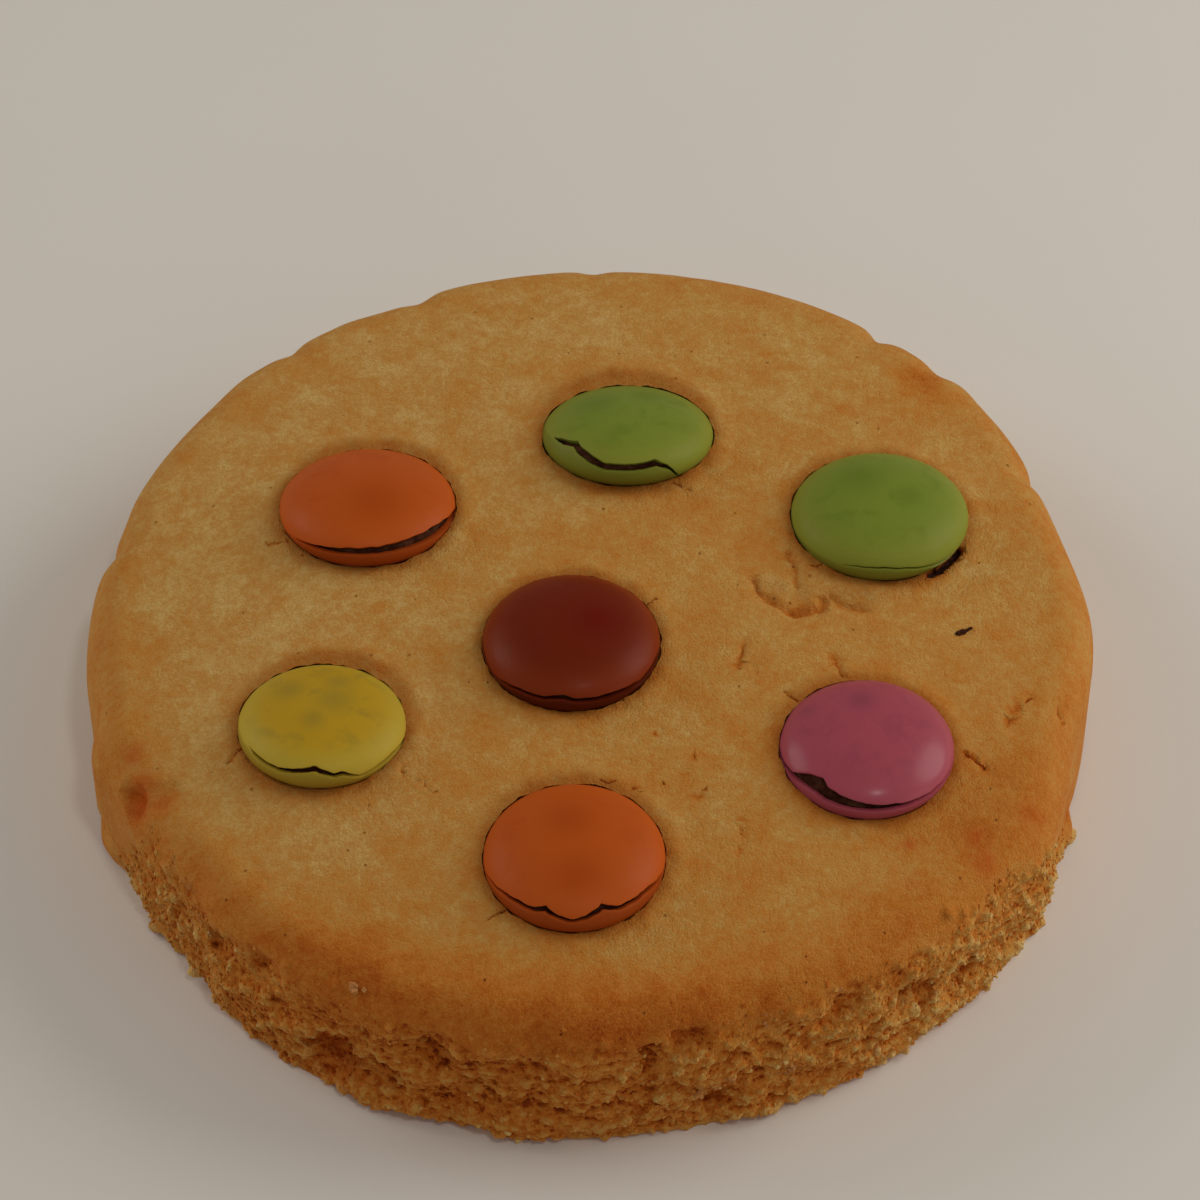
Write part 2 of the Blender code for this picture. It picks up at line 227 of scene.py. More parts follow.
# Cracked chips of the top: x, y, radius and depth in mm
TOP_CHIPS = (
    (14.4, 1.0, 1.5, 0.5),
    (16.5, 0.1, 1.7, 0.7),
    (20.9, 0.3, 1.4, 0.4),
    (-32.6, -17.9, 1.7, 0.7),
)

# Cracks of the top: points, half width and depth in mm, then the painted shade in the crack
TOP_CRACKS = (
    (((13.2, 2.2), (13.5, 1.2), (14.5, 0.3)), 0.30, 0.45, 0.12),
    (((14.3, 0.4), (15.5, -0.5), (16.4, -0.9), (17.5, -0.8), (18.5, -0.5), (18.7, 0.3)),
     0.48, 0.60, 0.14),
    (((19.3, 0.7), (20.3, 0.0), (22.0, -0.4)), 0.38, 0.42, 0.10),
    (((16.1, 5.0), (16.6, 3.5), (16.6, 1.9)), 0.34, 0.35, 0.12),
    (((12.4, -4.3), (12.1, -5.5), (11.7, -6.9)), 0.26, 0.30, 0.14),
    (((12.6, -6.6), (13.5, -7.5)), 0.14, 0.20, 0.16),
    (((19.4, -5.4), (19.6, -6.4), (20.0, -7.5)), 0.22, 0.28, 0.14),
    (((32.5, -11.7), (33.5, -9.4), (34.8, -8.4)), 0.14, 0.25, 0.35),
    (((29.2, -14.5), (30.0, -14.9), (30.7, -15.5), (31.4, -15.2)), 0.15, 0.28, 0.45),
    (((36.9, -9.3), (38.0, -10.2)), 0.14, 0.20, 0.3),
    (((5.6, -18.6), (6.6, -17.5), (7.6, -17.3)), 0.11, 0.22, 0.3),
    (((8.6, -19.6), (9.2, -18.4), (9.0, -17.4)), 0.11, 0.22, 0.25),
    (((1.1, -18.1), (1.7, -18.4), (2.2, -18.2)), 0.07, 0.12, 0.5),
    (((3.6, -18.7), (4.2, -19.1)), 0.07, 0.12, 0.4),
    (((4.9, -13.2), (5.3, -13.5)), 0.07, 0.12, 0.5),
    (((8.2, -15.4), (8.3, -15.8)), 0.07, 0.12, 0.5),
    (((11.8, -21.4), (12.0, -23.4), (11.4, -24.6)), 0.15, 0.20, 0.15),
    (((-14.3, -17.0), (-12.6, -18.0), (-11.4, -18.9)), 0.12, 0.20, 0.2),
)
# The gap by one button, its shadow painted dark: the button, angles along it, how far out in mm, as above
RIM_GAP = ("green_right", (-56, -48, -40, -32, -24), -0.3, 0.34, 0.9, 2.2)

# The skin: the voxels, the clumps that are fused on, the triangles that stay and the flakes
VOXEL = 0.27 * MM
CLUMP_SPACING = 0.85 * MM
CLUMP_SIZES = (0.26 * MM, 0.62 * MM)
CLUMP_SINK = -0.12 * MM
CLUMP_ALLOWANCE = 0.27 * MM
CLUMP_PATCH_PERIOD = 4.0 * MM
KEPT_TRIANGLES = 165000
FLAKY_RADII = (35.5 * MM, 38.0 * MM)
FLAKY_HEIGHTS = (0.1 * MM, 0.5 * MM)
RIDGE_DEPTH = 0.16 * MM
RIDGE_PERIOD = 1.5 * MM
RIDGE_LAYER = 0.75 * MM
BREAK_DEPTH = 0.14 * MM
BREAK_PERIOD = 0.6 * MM
BASE_FLAT_UNDER = 0.08 * MM
FACET_ANGLE = 24.0

# Hairline cracks: how many at each button, their size and how much painted shade lies in them
HAIRLINES_PER_BUTTON = 1
HAIRLINE_HALF_WIDTH = 0.08 * MM
HAIRLINE_DEPTH = 0.2 * MM
HAIRLINE_CREVICE_SHADE = 0.25
CRACK_FACING = 0.6
CRACK_LINE_NARROWER = 1.2
CRACK_JITTER = 0.16 * MM
CRACK_JITTER_PERIOD = 0.7 * MM

# Loose sandy grains on the open side
GRAIN_SPACING = 0.44 * MM
GRAIN_SIZES = (0.10 * MM, 0.25 * MM)
GRAIN_FLOOR = 0.5 * MM

# The burnt speck: where it lies and how it is turned, then its lumps as x, y, reach and height in mm
SPECK_PLACE = (29.6 * MM, -2.4 * MM)
SPECK_RISE = 0.05 * MM
SPECK_TURN = 20.0
SPECK_VOXEL = 0.03 * MM
SPECK_LUMPS = (
    (-0.22, 0.0, 0.32, 0.20),
    (0.12, 0.03, 0.34, 0.22),
    (0.48, 0.10, 0.20, 0.13),
    (0.78, 0.18, 0.22, 0.09),
)

# The buttons: the lean in degrees, the finish, and the crack as (degrees, height in mm over the
# widest ring, width in mm)
BUTTONS = {
    "orange_left": (13.0, "orange", (
        (-146, 0.0, 0.1), (-139, 0.1, 0.3), (-119, 0.35, 0.6), (-100, 0.55, 0.75), (-79, 0.65, 0.8),
        (-56, 0.72, 0.85), (-33, 0.6, 0.95), (-11, 0.3, 0.7), (4, 0.1, 0.1),
    )),
    "green_top": (20.0, "green", (
        (-156, 1.1, 0.1), (-150, 1.19, 0.35), (-135, 1.42, 0.45), (-120, 0.97, 0.7),
        (-105, 0.53, 0.8), (-83, 0.6, 0.75), (-70, 0.78, 0.65), (-63, 0.39, 0.55),
        (-54, -0.8, 0.4), (-49, -1.2, 0.1),
    )),
    "green_right": (8.0, "green", (
        (-116, 0.35, 0.05), (-109, 0.49, 0.12), (-92, 0.58, 0.18), (-77, 0.42, 0.2),
        (-62, 0.05, 0.35), (-50, -0.3, 0.7), (-36, -0.5, 0.7), (-26, -0.6, 0.5), (-16, -0.6, 0.1),
    )),
    "red_middle": (4.5, "red", (
        (-176, 0.4, 0.1), (-165, 0.3, 0.25), (-150, 0.0, 0.3), (-128, 0.45, 0.35),
        (-109, 0.5, 0.38), (-96, 0.76, 0.4), (-83, 0.5, 0.45), (-60, 0.4, 0.6), (-38, 0.12, 0.65),
        (-18, 0.3, 0.45), (-6, 0.3, 0.1),
    )),
    "yellow_left": (10.0, "yellow", (
        (-148, 0.70, 0.06), (-143, 0.62, 0.28), (-136, 0.56, 0.36), (-119, 0.5, 0.42), (-93, 0.98, 0.45),
        (-79, 0.5, 0.5), (-74, 0.56, 0.45), (-62, 0.0, 0.35), (-36, 0.34, 0.3), (-10, 0.18, 0.35),
        (2, 0.1, 0.08),
    )),
    "pink_right": (3.0, "pink", (
        (-184, 0.3, 0.1), (-170, 0.4, 0.3), (-153, 0.55, 0.5), (-142, 1.0, 0.95),
        (-129, 1.1, 1.15), (-119, 0.85, 1.05), (-105, 0.72, 0.95), (-89, 0.6, 0.75),
        (-72, 0.5, 0.6), (-55, 0.38, 0.45), (-18, 0.22, 0.2), (-4, 0.2, 0.06),
    )),
    "orange_front": (2.5, "orange", (
        (-170, 0.25, 0.08), (-162, 0.38, 0.2), (-139, 0.80, 0.3), (-118, 0.90, 0.38),
        (-110, 1.15, 0.42), (-102, 0.85, 0.36), (-89, 0.60, 0.38), (-81, 0.86, 0.40),
        (-70, 1.24, 0.42), (-58, 0.86, 0.36), (-34, 0.75, 0.36), (-4, 0.0, 0.35), (6, 0.0, 0.08),
    )),
}

# Darker patches of each shell's colour: x, y and reach in mm from its middle
PATCHES = {
    "orange_left": ((0.8, -2.6, 2.6),),
    "green_top": ((-2.4, 0.8, 1.8), (1.6, 2.0, 1.4)),
    "green_right": ((-1.6, 1.8, 2.2), (2.2, -0.6, 1.2)),
    "red_middle": ((2.0, 0.0, 2.2),),
    "yellow_left": ((1.0, 0.2, 1.6), (-2.6, 1.6, 1.3), (1.2, 2.4, 1.2), (-0.6, -2.0, 1.0)),
    "pink_right": ((-0.4, 2.95, 1.2), (-4.7, 2.5, 0.8)),
    "orange_front": ((-0.4, 1.6, 2.0), (0.3, -3.6, 2.0)),
}
HALF_HEIGHT_SHARE = 0.40
SHELL_SEGMENTS = 144
SHELL_RINGS = 44
CRACK_LOW_RING = 22
CRACK_HIGH_RING = 24
SHELL_WALL = 0.5 * MM
CRACK_WIDTH_SHARE = 0.78
CRACK_LEAST = 0.02 * MM
CRACK_REACH = 0.95
CRACK_EDGE_BEVEL = 0.05 * MM
BEVEL_ANGLE = 50.0
# How far the painted shade below the crack fades in
SHADE_BELOW_FADE = 0.25 * MM
JAG_HEIGHT = 0.07 * MM
JAG_ANGLE_PERIOD = 7.0
CENTRE_GAP = 0.12 * MM
CENTRE_SEGMENTS = 72
CENTRE_RINGS = 28
CENTRE_BUMP = 0.12
CENTRE_BUMP_LIMIT = 0.4
CENTRE_BUMP_PERIOD = 1.6 * MM
SOCKET_GAP = 0.07 * MM
SOCKET_SEGMENTS = 128
SOCKET_RINGS = 40
SOCKET_RAGGED = 0.16 * MM
SOCKET_RAGGED_PERIOD = 1.0 * MM
REFINE_CUTS = 3
REFINE_REACH = 0.25 * MM

# The camera, as the picture is 1200 pixels square
PICTURE_PIXELS = 1200
FOCAL_PIXELS = 4785.0
SENSOR_WIDTH = 36.0
CAMERA_ELEVATION = 49.5
CAMERA_DISTANCE = 0.400
CAMERA_TARGET = Vector((1.05 * MM, 14.16 * MM, 0.0))


# Working in Blender

def deselect_all():
    """Leave nothing selected, in object mode."""
    if bpy.context.object is not None and bpy.context.object.mode != "OBJECT":
        bpy.ops.object.mode_set(mode="OBJECT")
    bpy.ops.object.select_all(action="DESELECT")


def pick(piece):
    """Select one piece alone and make it active."""
    deselect_all()
    piece.select_set(True)
    bpy.context.view_layer.objects.active = piece


def name_new(name):
    """Name the object that was just added."""
    made = bpy.context.object
    made.name = name
    made.data.name = name
    return made


def settle(piece):
    """Put the piece's place into its mesh."""
    pick(piece)
    bpy.ops.object.transform_apply(location=True, rotation=True, scale=True)


def apply_modifier(piece, kind, **settings):
    """Add one modifier with these settings and apply it."""
    pick(piece)
    modifier = piece.modifiers.new(kind.lower(), kind)
    for key, value in settings.items():
        setattr(modifier, key, value)
    bpy.ops.object.modifier_apply(modifier=modifier.name)


def join(pieces):
    """Join the pieces into the first of them."""
    deselect_all()
    for piece in pieces:
        piece.select_set(True)
    bpy.context.view_layer.objects.active = pieces[0]
    bpy.ops.object.join()


def choose_none(piece, kind):
    """Clear what is chosen in a mesh, ready to choose elements of this kind."""
    pick(piece)
    bpy.ops.object.mode_set(mode="EDIT")
    bpy.ops.mesh.select_mode(type=kind)
    bpy.ops.mesh.select_all(action="DESELECT")
    bpy.ops.object.mode_set(mode="OBJECT")


def remove(piece):
    """Take a helper out of the scene."""
    mesh = piece.data
    bpy.data.objects.remove(piece, do_unlink=True)
    if mesh is not None and mesh.users == 0:
        bpy.data.meshes.remove(mesh)


def places_of(mesh):
    """The vertices' places as rows of an array."""
    flat = np.empty(len(mesh.vertices) * 3, np.float32)
    mesh.vertices.foreach_get("co", flat)
    return flat.reshape(-1, 3).astype(float)


def normals_of(mesh):
    """The vertices' normals as rows of an array."""
    flat = np.empty(len(mesh.vertices) * 3, np.float32)
    mesh.vertex_normals.foreach_get("vector", flat)
    return flat.reshape(-1, 3).astype(float)


def move_to(mesh, places):
    """Write the vertices' places back."""
    mesh.vertices.foreach_set("co", places.astype(np.float32).ravel())
    mesh.update()


def write_attribute(mesh, name, values):
    """Keep one number for each vertex, for the material to read."""
    attribute = mesh.attributes.get(name) or mesh.attributes.new(name, "FLOAT", "POINT")
    attribute.data.foreach_set("value", np.asarray(values, np.float32))


def feed(tree, node, inputs):
    """Give a node's inputs a value or another node's output each."""
    for key, value in inputs.items():
        if isinstance(value, bpy.types.NodeSocket):
            tree.links.new(value, node.inputs[key])
        else:
            node.inputs[key].default_value = value


def add_node(tree, kind, inputs=None, **settings):
    """A node with its settings, each input a value or another node's output."""
    node = tree.nodes.new(kind)
    for key, value in settings.items():
        setattr(node, key, value)
    feed(tree, node, inputs or {})
    return node


def rough(places, period, octaves, layer=None):
    """Fractal noise at each place, about -1 to 1, with a height of its own for layered dough."""
    size = np.array((period, period, layer or period))
    return np.array([noise.fractal(Vector(row), 1.0, 2.0, octaves) for row in places / size])


def nearness(places, x, y, reach):
    """1 at a spot and fading to 0 round it, seen from above. The spot is in mm."""
    away = np.hypot(places[:, 0] - x * MM, places[:, 1] - y * MM) / (reach * MM)
    return np.exp(-away ** 2)


def distance_to_path(places, path):
    """The distance of each place to a run of straight pieces."""
    best = np.full(len(places), np.inf)
    for start, end in zip(path, path[1:]):
        along = end - start
        share = np.clip((places - start) @ along / (along @ along), 0.0, 1.0)
        best = np.minimum(best, np.linalg.norm(places - start - share[:, None] * along, axis=1))
    return best


# The dough's form

def dome_height(radius):
    """Height of the smooth top at this distance from the middle."""
    return BISCUIT_HEIGHT - DOME_RISE * (radius / DOME_RADIUS) ** 2


SHOULDER_START = BISCUIT_RADIUS - SHOULDER_REACH
WALL_TOP = dome_height(SHOULDER_START) - SHOULDER_DROP


def dough_profile():
    """The turned outline, from the middle of the base out, up the side and over the dome."""
    outline = [Vector((FLAT_BASE_RADIUS * step / BASE_STEPS, 0, 0)) for step in range(BASE_STEPS)]
    for step in range(BASE_STEPS + 1):
        reach = BISCUIT_RADIUS - BASE_CHAMFER - FLAT_BASE_RADIUS
        outline.append(Vector((FLAT_BASE_RADIUS + reach * step / BASE_STEPS, 0, 0)))
    for step in range(WALL_STEPS):
        height = BASE_CHAMFER + (WALL_TOP - BASE_CHAMFER) * step / WALL_STEPS
        outline.append(Vector((BISCUIT_RADIUS, 0, height)))
    for step in range(SHOULDER_STEPS):
        turn = math.pi / 2 * step / SHOULDER_STEPS
        radius = SHOULDER_START + SHOULDER_REACH * math.cos(turn)
        outline.append(Vector((radius, 0, WALL_TOP + SHOULDER_DROP * math.sin(turn))))
    for step in range(DOME_STEPS + 1):
        radius = SHOULDER_START * (1 - step / DOME_STEPS)
        outline.append(Vector((radius, 0, dome_height(radius))))
    return outline


def turn_dough():
    """Draw the profile point by point, then spin it into a closed body."""
    outline = dough_profile()
    deselect_all()
    bpy.ops.mesh.primitive_plane_add(size=MM, location=outline[0], enter_editmode=True)
    bpy.ops.mesh.select_all(action="SELECT")
    bpy.ops.mesh.merge(type="CENTER")
    for here, following in zip(outline, outline[1:]):
        bpy.ops.mesh.extrude_vertices_move(TRANSFORM_OT_translate={"value": following - here})
    bpy.ops.mesh.select_all(action="SELECT")
    bpy.ops.mesh.spin(steps=TURN_STEPS, angle=math.tau, center=(0, 0, 0), axis=(0, 0, 1))
    bpy.ops.mesh.select_all(action="SELECT")
    bpy.ops.mesh.remove_doubles(threshold=TOUCH)
    bpy.ops.mesh.normals_make_consistent(inside=False)
    bpy.ops.object.mode_set(mode="OBJECT")
    dough = name_new("biscuit_dough")
    settle(dough)
    return dough


def step_up(values, start, end):
    """0 below start, 1 above end and a smooth rise between."""
    share = np.clip((values - start) / (end - start), 0.0, 1.0)
    return share * share * (3.0 - 2.0 * share)


def crumb_share(places):
    """1 on the open crumb, fading to 0 over the crust."""
    angles = np.degrees(np.arctan2(places[:, 1], places[:, 0]))
    line = MM * np.interp(angles, [row[0] for row in CRUMB_LINE], [row[1] for row in CRUMB_LINE],
                          period=360.0)
    line += CRUMB_RAGGED * rough(places, CRUMB_RAGGED_PERIOD, 3)
    return 1.0 - step_up(places[:, 2], line - CRUMB_FADE_DOWN, line + CRUMB_FADE)


def side_place(angle, height):
    """A point on the side, from an angle in degrees and a height."""
    turn = math.radians(angle)
    return np.array((BISCUIT_RADIUS * math.cos(turn), BISCUIT_RADIUS * math.sin(turn), height))


def side_dents(rows):
    """The pits or lumps of the side, ready for dent_depths."""
    return [(side_place(angle, height * MM), reach * MM, depth * MM)
            for angle, height, reach, depth in rows]


def dent_depths(places, dents):
    """How deep the ragged dents are at each place. A dent is a centre, a radius and a depth."""
    depths = np.zeros(len(places))
    ragged = 1.0 + PIT_RAGGED * rough(places, PIT_RAGGED_PERIOD, 2)
    for centre, reach, most in dents:
        share = np.linalg.norm(places - centre, axis=1) / reach * ragged
        inside = np.clip(1.0 - share * share, 0.0, 1.0)
        depths = np.maximum(depths, most * inside ** DENT_EDGE_POWER)
    return depths


def fissure_depths(places):
    """How deep the fissures of the side are at each place."""
    depths = np.zeros(len(places))
    for points, half_width, most in SIDE_FISSURES:
        path = [side_place(angle, height * MM) for angle, height in points]
        share = distance_to_path(places, path) / (half_width * MM)
        depths = np.maximum(depths, most * MM * np.exp(-share * share))
    return depths


def outline_swell(angles):
    """How far the outline stands out of the true circle at each angle in degrees."""
    return sum(height * np.cos(np.radians(count * (angles - peak)))
               for count, height, peak in OUTLINE_LOBES)


def bumps_round(angles, bumps):
    """The sum of soft bumps round the outline. A bump is an angle, a half width and mm of height."""
    total = np.zeros(len(angles))
    for middle, half_width, most in bumps:
        apart = np.abs((angles - middle + 180.0) % 360.0 - 180.0)
        total += most * MM * np.exp(-(apart / half_width) ** 2)
    return total


def notch_depths(angles, radii):
    """How deep the dips of the rim are at each angle and distance from the middle."""
    rim = np.clip((radii - NOTCH_START) / (BISCUIT_RADIUS - NOTCH_START), 0.0, None)
    return rim * bumps_round(angles, RIM_NOTCHES)


def sculpt_side(dough):
    """Give the turned body its outline, its rim notches and the crags of its side."""
    mesh = dough.data
    start = places_of(mesh)
    normals = normals_of(mesh)
    radii = np.hypot(start[:, 0], start[:, 1])
    angles = np.degrees(np.arctan2(start[:, 1], start[:, 0]))
    outward = np.zeros_like(start)
    outward[:, :2] = start[:, :2] / np.maximum(radii, TOUCH)[:, None]
    loose = ~((start[:, 2] < TOUCH) & (radii <= FLAT_BASE_RADIUS + TOUCH))
    raised = start[:, 2] >= TOUCH
    edge = np.minimum(radii / BISCUIT_RADIUS, 1.0) ** RIM_SHARE_POWER
    notch = notch_depths(angles, radii)
    crumb = crumb_share(start) * raised * (radii > NOTCH_START)
    side = crumb > 0.0
    crag = np.zeros(len(start))
    layers = rough(start[side], CRAG_PERIOD, CRAG_OCTAVES, CRAG_LAYER)
    share = np.clip(CRAG_MIDDLE + CRAG_CONTRAST * layers, 0.0, 1.0)
    crag[side] = CRAG_DEPTH * (share - CRAG_MIDDLE)
    flakes = np.abs(rough(start[side], FLAKE_PERIOD, FLAKE_OCTAVES, FLAKE_LAYER))
    crag[side] += FLAKE_DEPTH * (flakes - 0.3) + CLUMP_ALLOWANCE
    relief = dent_depths(start, side_dents(SIDE_LUMPS)) - dent_depths(start, side_dents(SIDE_PITS))
    relief *= raised
    swell = (outline_swell(angles) - bumps_round(angles, SIDE_TRIMS)) * edge
    moved = start + outward * (swell - notch - crumb * crag)[:, None]
    moved += normals * relief[:, None]
    moved[:, 2] -= NOTCH_DROP * notch * raised
    placed = np.where(loose[:, None], moved, start)
    low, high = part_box("biscuit")
    middle = (placed.max(0) + placed.min(0)) / 2
    placed[:, 0] += (low.x + high.x) / 2 - middle[0] + OUTLINE_SHIFT
    placed[:, 1] += (low.y + high.y) / 2 - middle[1]
    move_to(mesh, placed)


def sculpt_top(dough):
    """Give the top its waves, the lips at the buttons and the chips."""
    mesh = dough.data
    places = places_of(mesh)
    top = places[:, 2] > WALL_TOP + CRUMB_TOP_SHARE * SHOULDER_DROP
    spots = places[top]
    flat = spots.copy()
    flat[:, 2] = 0.0
    edge = np.minimum(np.hypot(spots[:, 0], spots[:, 1]) / BISCUIT_RADIUS, 1.0) ** RIM_SHARE_POWER
    wave = TOP_WAVE * np.array([noise.noise(Vector(row)) for row in flat / TOP_WAVE_PERIOD])
    ripple = TOP_RIPPLE * rough(flat, TOP_RIPPLE_PERIOD, 3)
    lips = np.zeros(len(spots))
    uneven = 1.0 + 0.9 * rough(flat, LIP_PERIOD, 2)
    for name in BUTTONS:
        centre, radius = button_place(name)
        away = np.hypot(spots[:, 0] - centre.x, spots[:, 1] - centre.y) - radius - SOCKET_GAP
        lips = np.maximum(lips, LIP_HEIGHT * np.exp(-((away - LIP_OFFSET) / LIP_REACH) ** 2))
    chips = [(np.array((x, y, dome_height(math.hypot(x, y)))), reach, depth)
             for x, y, reach, depth in np.array(TOP_CHIPS) * MM]
    lips *= uneven
    places[top, 2] += wave * (1.0 - edge) + ripple + lips - dent_depths(spots, chips)
    move_to(mesh, places)


# Clumps and grains

def batter(grain, flatness, seed):
    """Make a grain irregular and flatten it."""
    places = places_of(grain.data)
    shift = Vector((seed * 7.3, seed * 3.1, 0.0))
    swell = np.array([1.0 + 0.5 * noise.noise(Vector(row) * 1.3 + shift) for row in places])
    places *= swell[:, None]
    places[:, 2] *= flatness
    move_to(grain.data, places)
    return grain


def make_clump(name, seed):
    """One lump of dough, about 1 unit in radius."""
    deselect_all()
    bpy.ops.mesh.primitive_ico_sphere_add(subdivisions=2, radius=1.0)
    return batter(name_new(name), 0.7, seed)


def make_grain(name, seed):
    """One broken, angular grain, about 1 unit in radius."""
    deselect_all()
    bpy.ops.mesh.primitive_cube_add(size=1.3)
    return batter(name_new(name), 0.8, seed)


def scatter(name, carrier, grains, spacing, sizes, sink, share_attribute, seed):
    """A new piece of grains spread over the carrier, each with a tint, made real and joined."""
    pick(carrier)
    bpy.ops.object.duplicate()
    spread = name_new(name)
    folder = bpy.data.collections.new(name + "_grains")
    for grain in grains:
        folder.objects.link(grain)
    tree = bpy.data.node_groups.new(name + "_spread", "GeometryNodeTree")
    for way in ("INPUT", "OUTPUT"):
        tree.interface.new_socket("Geometry", in_out=way, socket_type="NodeSocketGeometry")
    entry = add_node(tree, "NodeGroupInput")
    share = add_node(tree, "GeometryNodeInputNamedAttribute", {"Name": share_attribute},
                     data_type="FLOAT")
    points = add_node(tree, "GeometryNodeDistributePointsOnFaces",
                      {"Mesh": entry.outputs[0], "Distance Min": spacing,
                       "Density Max": 2.0 / spacing ** 2,
                       "Density Factor": share.outputs["Attribute"], "Seed": seed},
                      distribute_method="POISSON")
    source = add_node(tree, "GeometryNodeCollectionInfo",
                      {"Collection": folder, "Separate Children": True, "Reset Children": True})
    size = add_node(tree, "FunctionNodeRandomValue",
                    {2: sizes[0], 3: sizes[1], "Seed": seed + 1}, data_type="FLOAT")
    turn = add_node(tree, "FunctionNodeRandomValue",
                    {0: (-0.6, -0.6, 0.0), 1: (0.6, 0.6, math.tau), "Seed": seed + 2},
                    data_type="FLOAT_VECTOR")
    tint = add_node(tree, "FunctionNodeRandomValue", {2: -1.0, 3: 1.0, "Seed": seed + 3},
                    data_type="FLOAT")
    lean = add_node(tree, "FunctionNodeRotateRotation",
                    {"Rotation": points.outputs["Rotation"], "Rotate By": turn.outputs[0]},
                    rotation_space="LOCAL")
    stand = add_node(tree, "GeometryNodeInstanceOnPoints",
                     {"Points": points.outputs["Points"], "Instance": source.outputs[0],
                      "Pick Instance": True, "Rotation": lean.outputs[0],
                      "Scale": size.outputs[1]})
    lowered = add_node(tree, "GeometryNodeTranslateInstances",
                       {"Instances": stand.outputs[0], "Local Space": True,
                        "Translation": (0.0, 0.0, sink)})
    tinted = add_node(tree, "GeometryNodeStoreNamedAttribute",
                      {"Geometry": lowered.outputs[0], "Name": "tint", "Value": tint.outputs[1]},
                      data_type="FLOAT", domain="INSTANCE")
    real = add_node(tree, "GeometryNodeRealizeInstances", {0: tinted.outputs[0]})
    add_node(tree, "NodeGroupOutput", {0: real.outputs[0]})
    apply_modifier(spread, "NODES", node_group=tree)
    bpy.data.node_groups.remove(tree)
    bpy.data.collections.remove(folder)
    return spread


def fuse_clumps(dough):
    """Cover the open side with clumps, then remesh all of it into one skin."""
    places = places_of(dough.data)
    radii = np.hypot(places[:, 0], places[:, 1])
    share = crumb_share(places) * (radii > NOTCH_START) * (places[:, 2] > BASE_CHAMFER)
    patchy = 0.5 + 0.5 * np.array([noise.noise(Vector(row)) for row in places / CLUMP_PATCH_PERIOD])
    write_attribute(dough.data, "crumb", share * np.clip(patchy * 1.3, 0.0, 1.0))
    grains = [make_clump("clump_%d" % turn, turn + 1) for turn in range(4)]
    clumps = scatter("clumps", dough, grains, CLUMP_SPACING, CLUMP_SIZES, CLUMP_SINK, "crumb", 11)
    for grain in grains:
        remove(grain)
    join([dough, clumps])
    apply_modifier(dough, "REMESH", mode="VOXEL", voxel_size=VOXEL)


def roughen_crumb(dough):
    """Break the open side into flaky layers, and press in its fissures."""
    mesh = dough.data
    places = places_of(mesh)
    normals = normals_of(mesh)
    radii = np.hypot(places[:, 0], places[:, 1])
    share = crumb_share(places) * step_up(radii, *FLAKY_RADII)
    share *= step_up(places[:, 2], *FLAKY_HEIGHTS)
    side = share > 0.0
    spots = places[side]
    ridges = np.abs(rough(spots, RIDGE_PERIOD, 3, RIDGE_LAYER))
    depth = RIDGE_DEPTH * (1.6 * ridges - 0.45) + BREAK_DEPTH * rough(spots, BREAK_PERIOD, 2)
    inward = np.column_stack((spots[:, :2] / radii[side][:, None], np.zeros(len(spots))))
    moved = spots - normals[side] * (depth * share[side])[:, None]
    moved -= inward * (fissure_depths(spots) * share[side])[:, None]
    places[side] = moved
    move_to(mesh, places)


# The buttons

def button_place(name):
    """The middle and the radius of a button, from its solid."""
    low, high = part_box("shell_" + name)
    return (low + high) / 2, (high.x - low.x) / 2


def make_lentil(name, button, segments, rings, growth):
    """A flattened ball of the button's form, grown all round, upright at the origin."""
    _, radius = button_place(button)
    deselect_all()
    bpy.ops.mesh.primitive_uv_sphere_add(segments=segments, ring_count=rings, radius=radius + growth)
    flatness = (radius * HALF_HEIGHT_SHARE + growth) / (radius + growth)
    bpy.ops.object.mode_set(mode="EDIT")
    bpy.ops.mesh.select_all(action="SELECT")
    bpy.ops.transform.resize(value=(1.0, 1.0, flatness), center_override=(0.0, 0.0, 0.0))
    bpy.ops.object.mode_set(mode="OBJECT")
    return name_new(name)


def seat(piece, button):
    """Lean a piece back and put it where its button is."""
    centre, _ = button_place(button)
    lean = math.radians(-BUTTONS[button][0])
    piece.data.transform(Matrix.Translation(centre) @ Matrix.Rotation(lean, 4, "X"))
    piece.data.update()


def crack_lines(button, angles):
    """The lower and upper edge of the crack at each angle, and where it is open."""
    rows = BUTTONS[button][2] + ((90, 0.2, 0.0),)
    stations = [row[0] for row in rows]
    heights = np.interp(angles, stations, [row[1] * MM for row in rows], period=360.0)
    widths = np.interp(angles, stations, [row[2] * MM * CRACK_WIDTH_SHARE for row in rows],
                       period=360.0)
    seed = sum(map(ord, button))
    jag = []
    for side in (0.0, 40.0):
        jag.append(np.array([
            JAG_HEIGHT * noise.fractal(Vector((angle / JAG_ANGLE_PERIOD, side, seed)), 1.0, 2.0, 3)
            for angle in angles
        ]))
    opened = (angles - stations[0]) % 360.0 <= stations[-2] - stations[0]
    low = heights - widths / 2 + jag[0]
    high = heights + widths / 2 + 0.6 * jag[0] + 0.6 * jag[1]
    return low, np.maximum(high, low + CRACK_LEAST), opened


def latitude_of(share, limit):
    """The latitude in degrees at a share of the half height, held within a limit."""
    return np.degrees(np.arcsin(np.clip(share, -limit, limit)))


def ring_latitude(ring):
    """The latitude in degrees of an evenly spaced ring."""
    return ring / SHELL_RINGS * 180.0 - 90.0


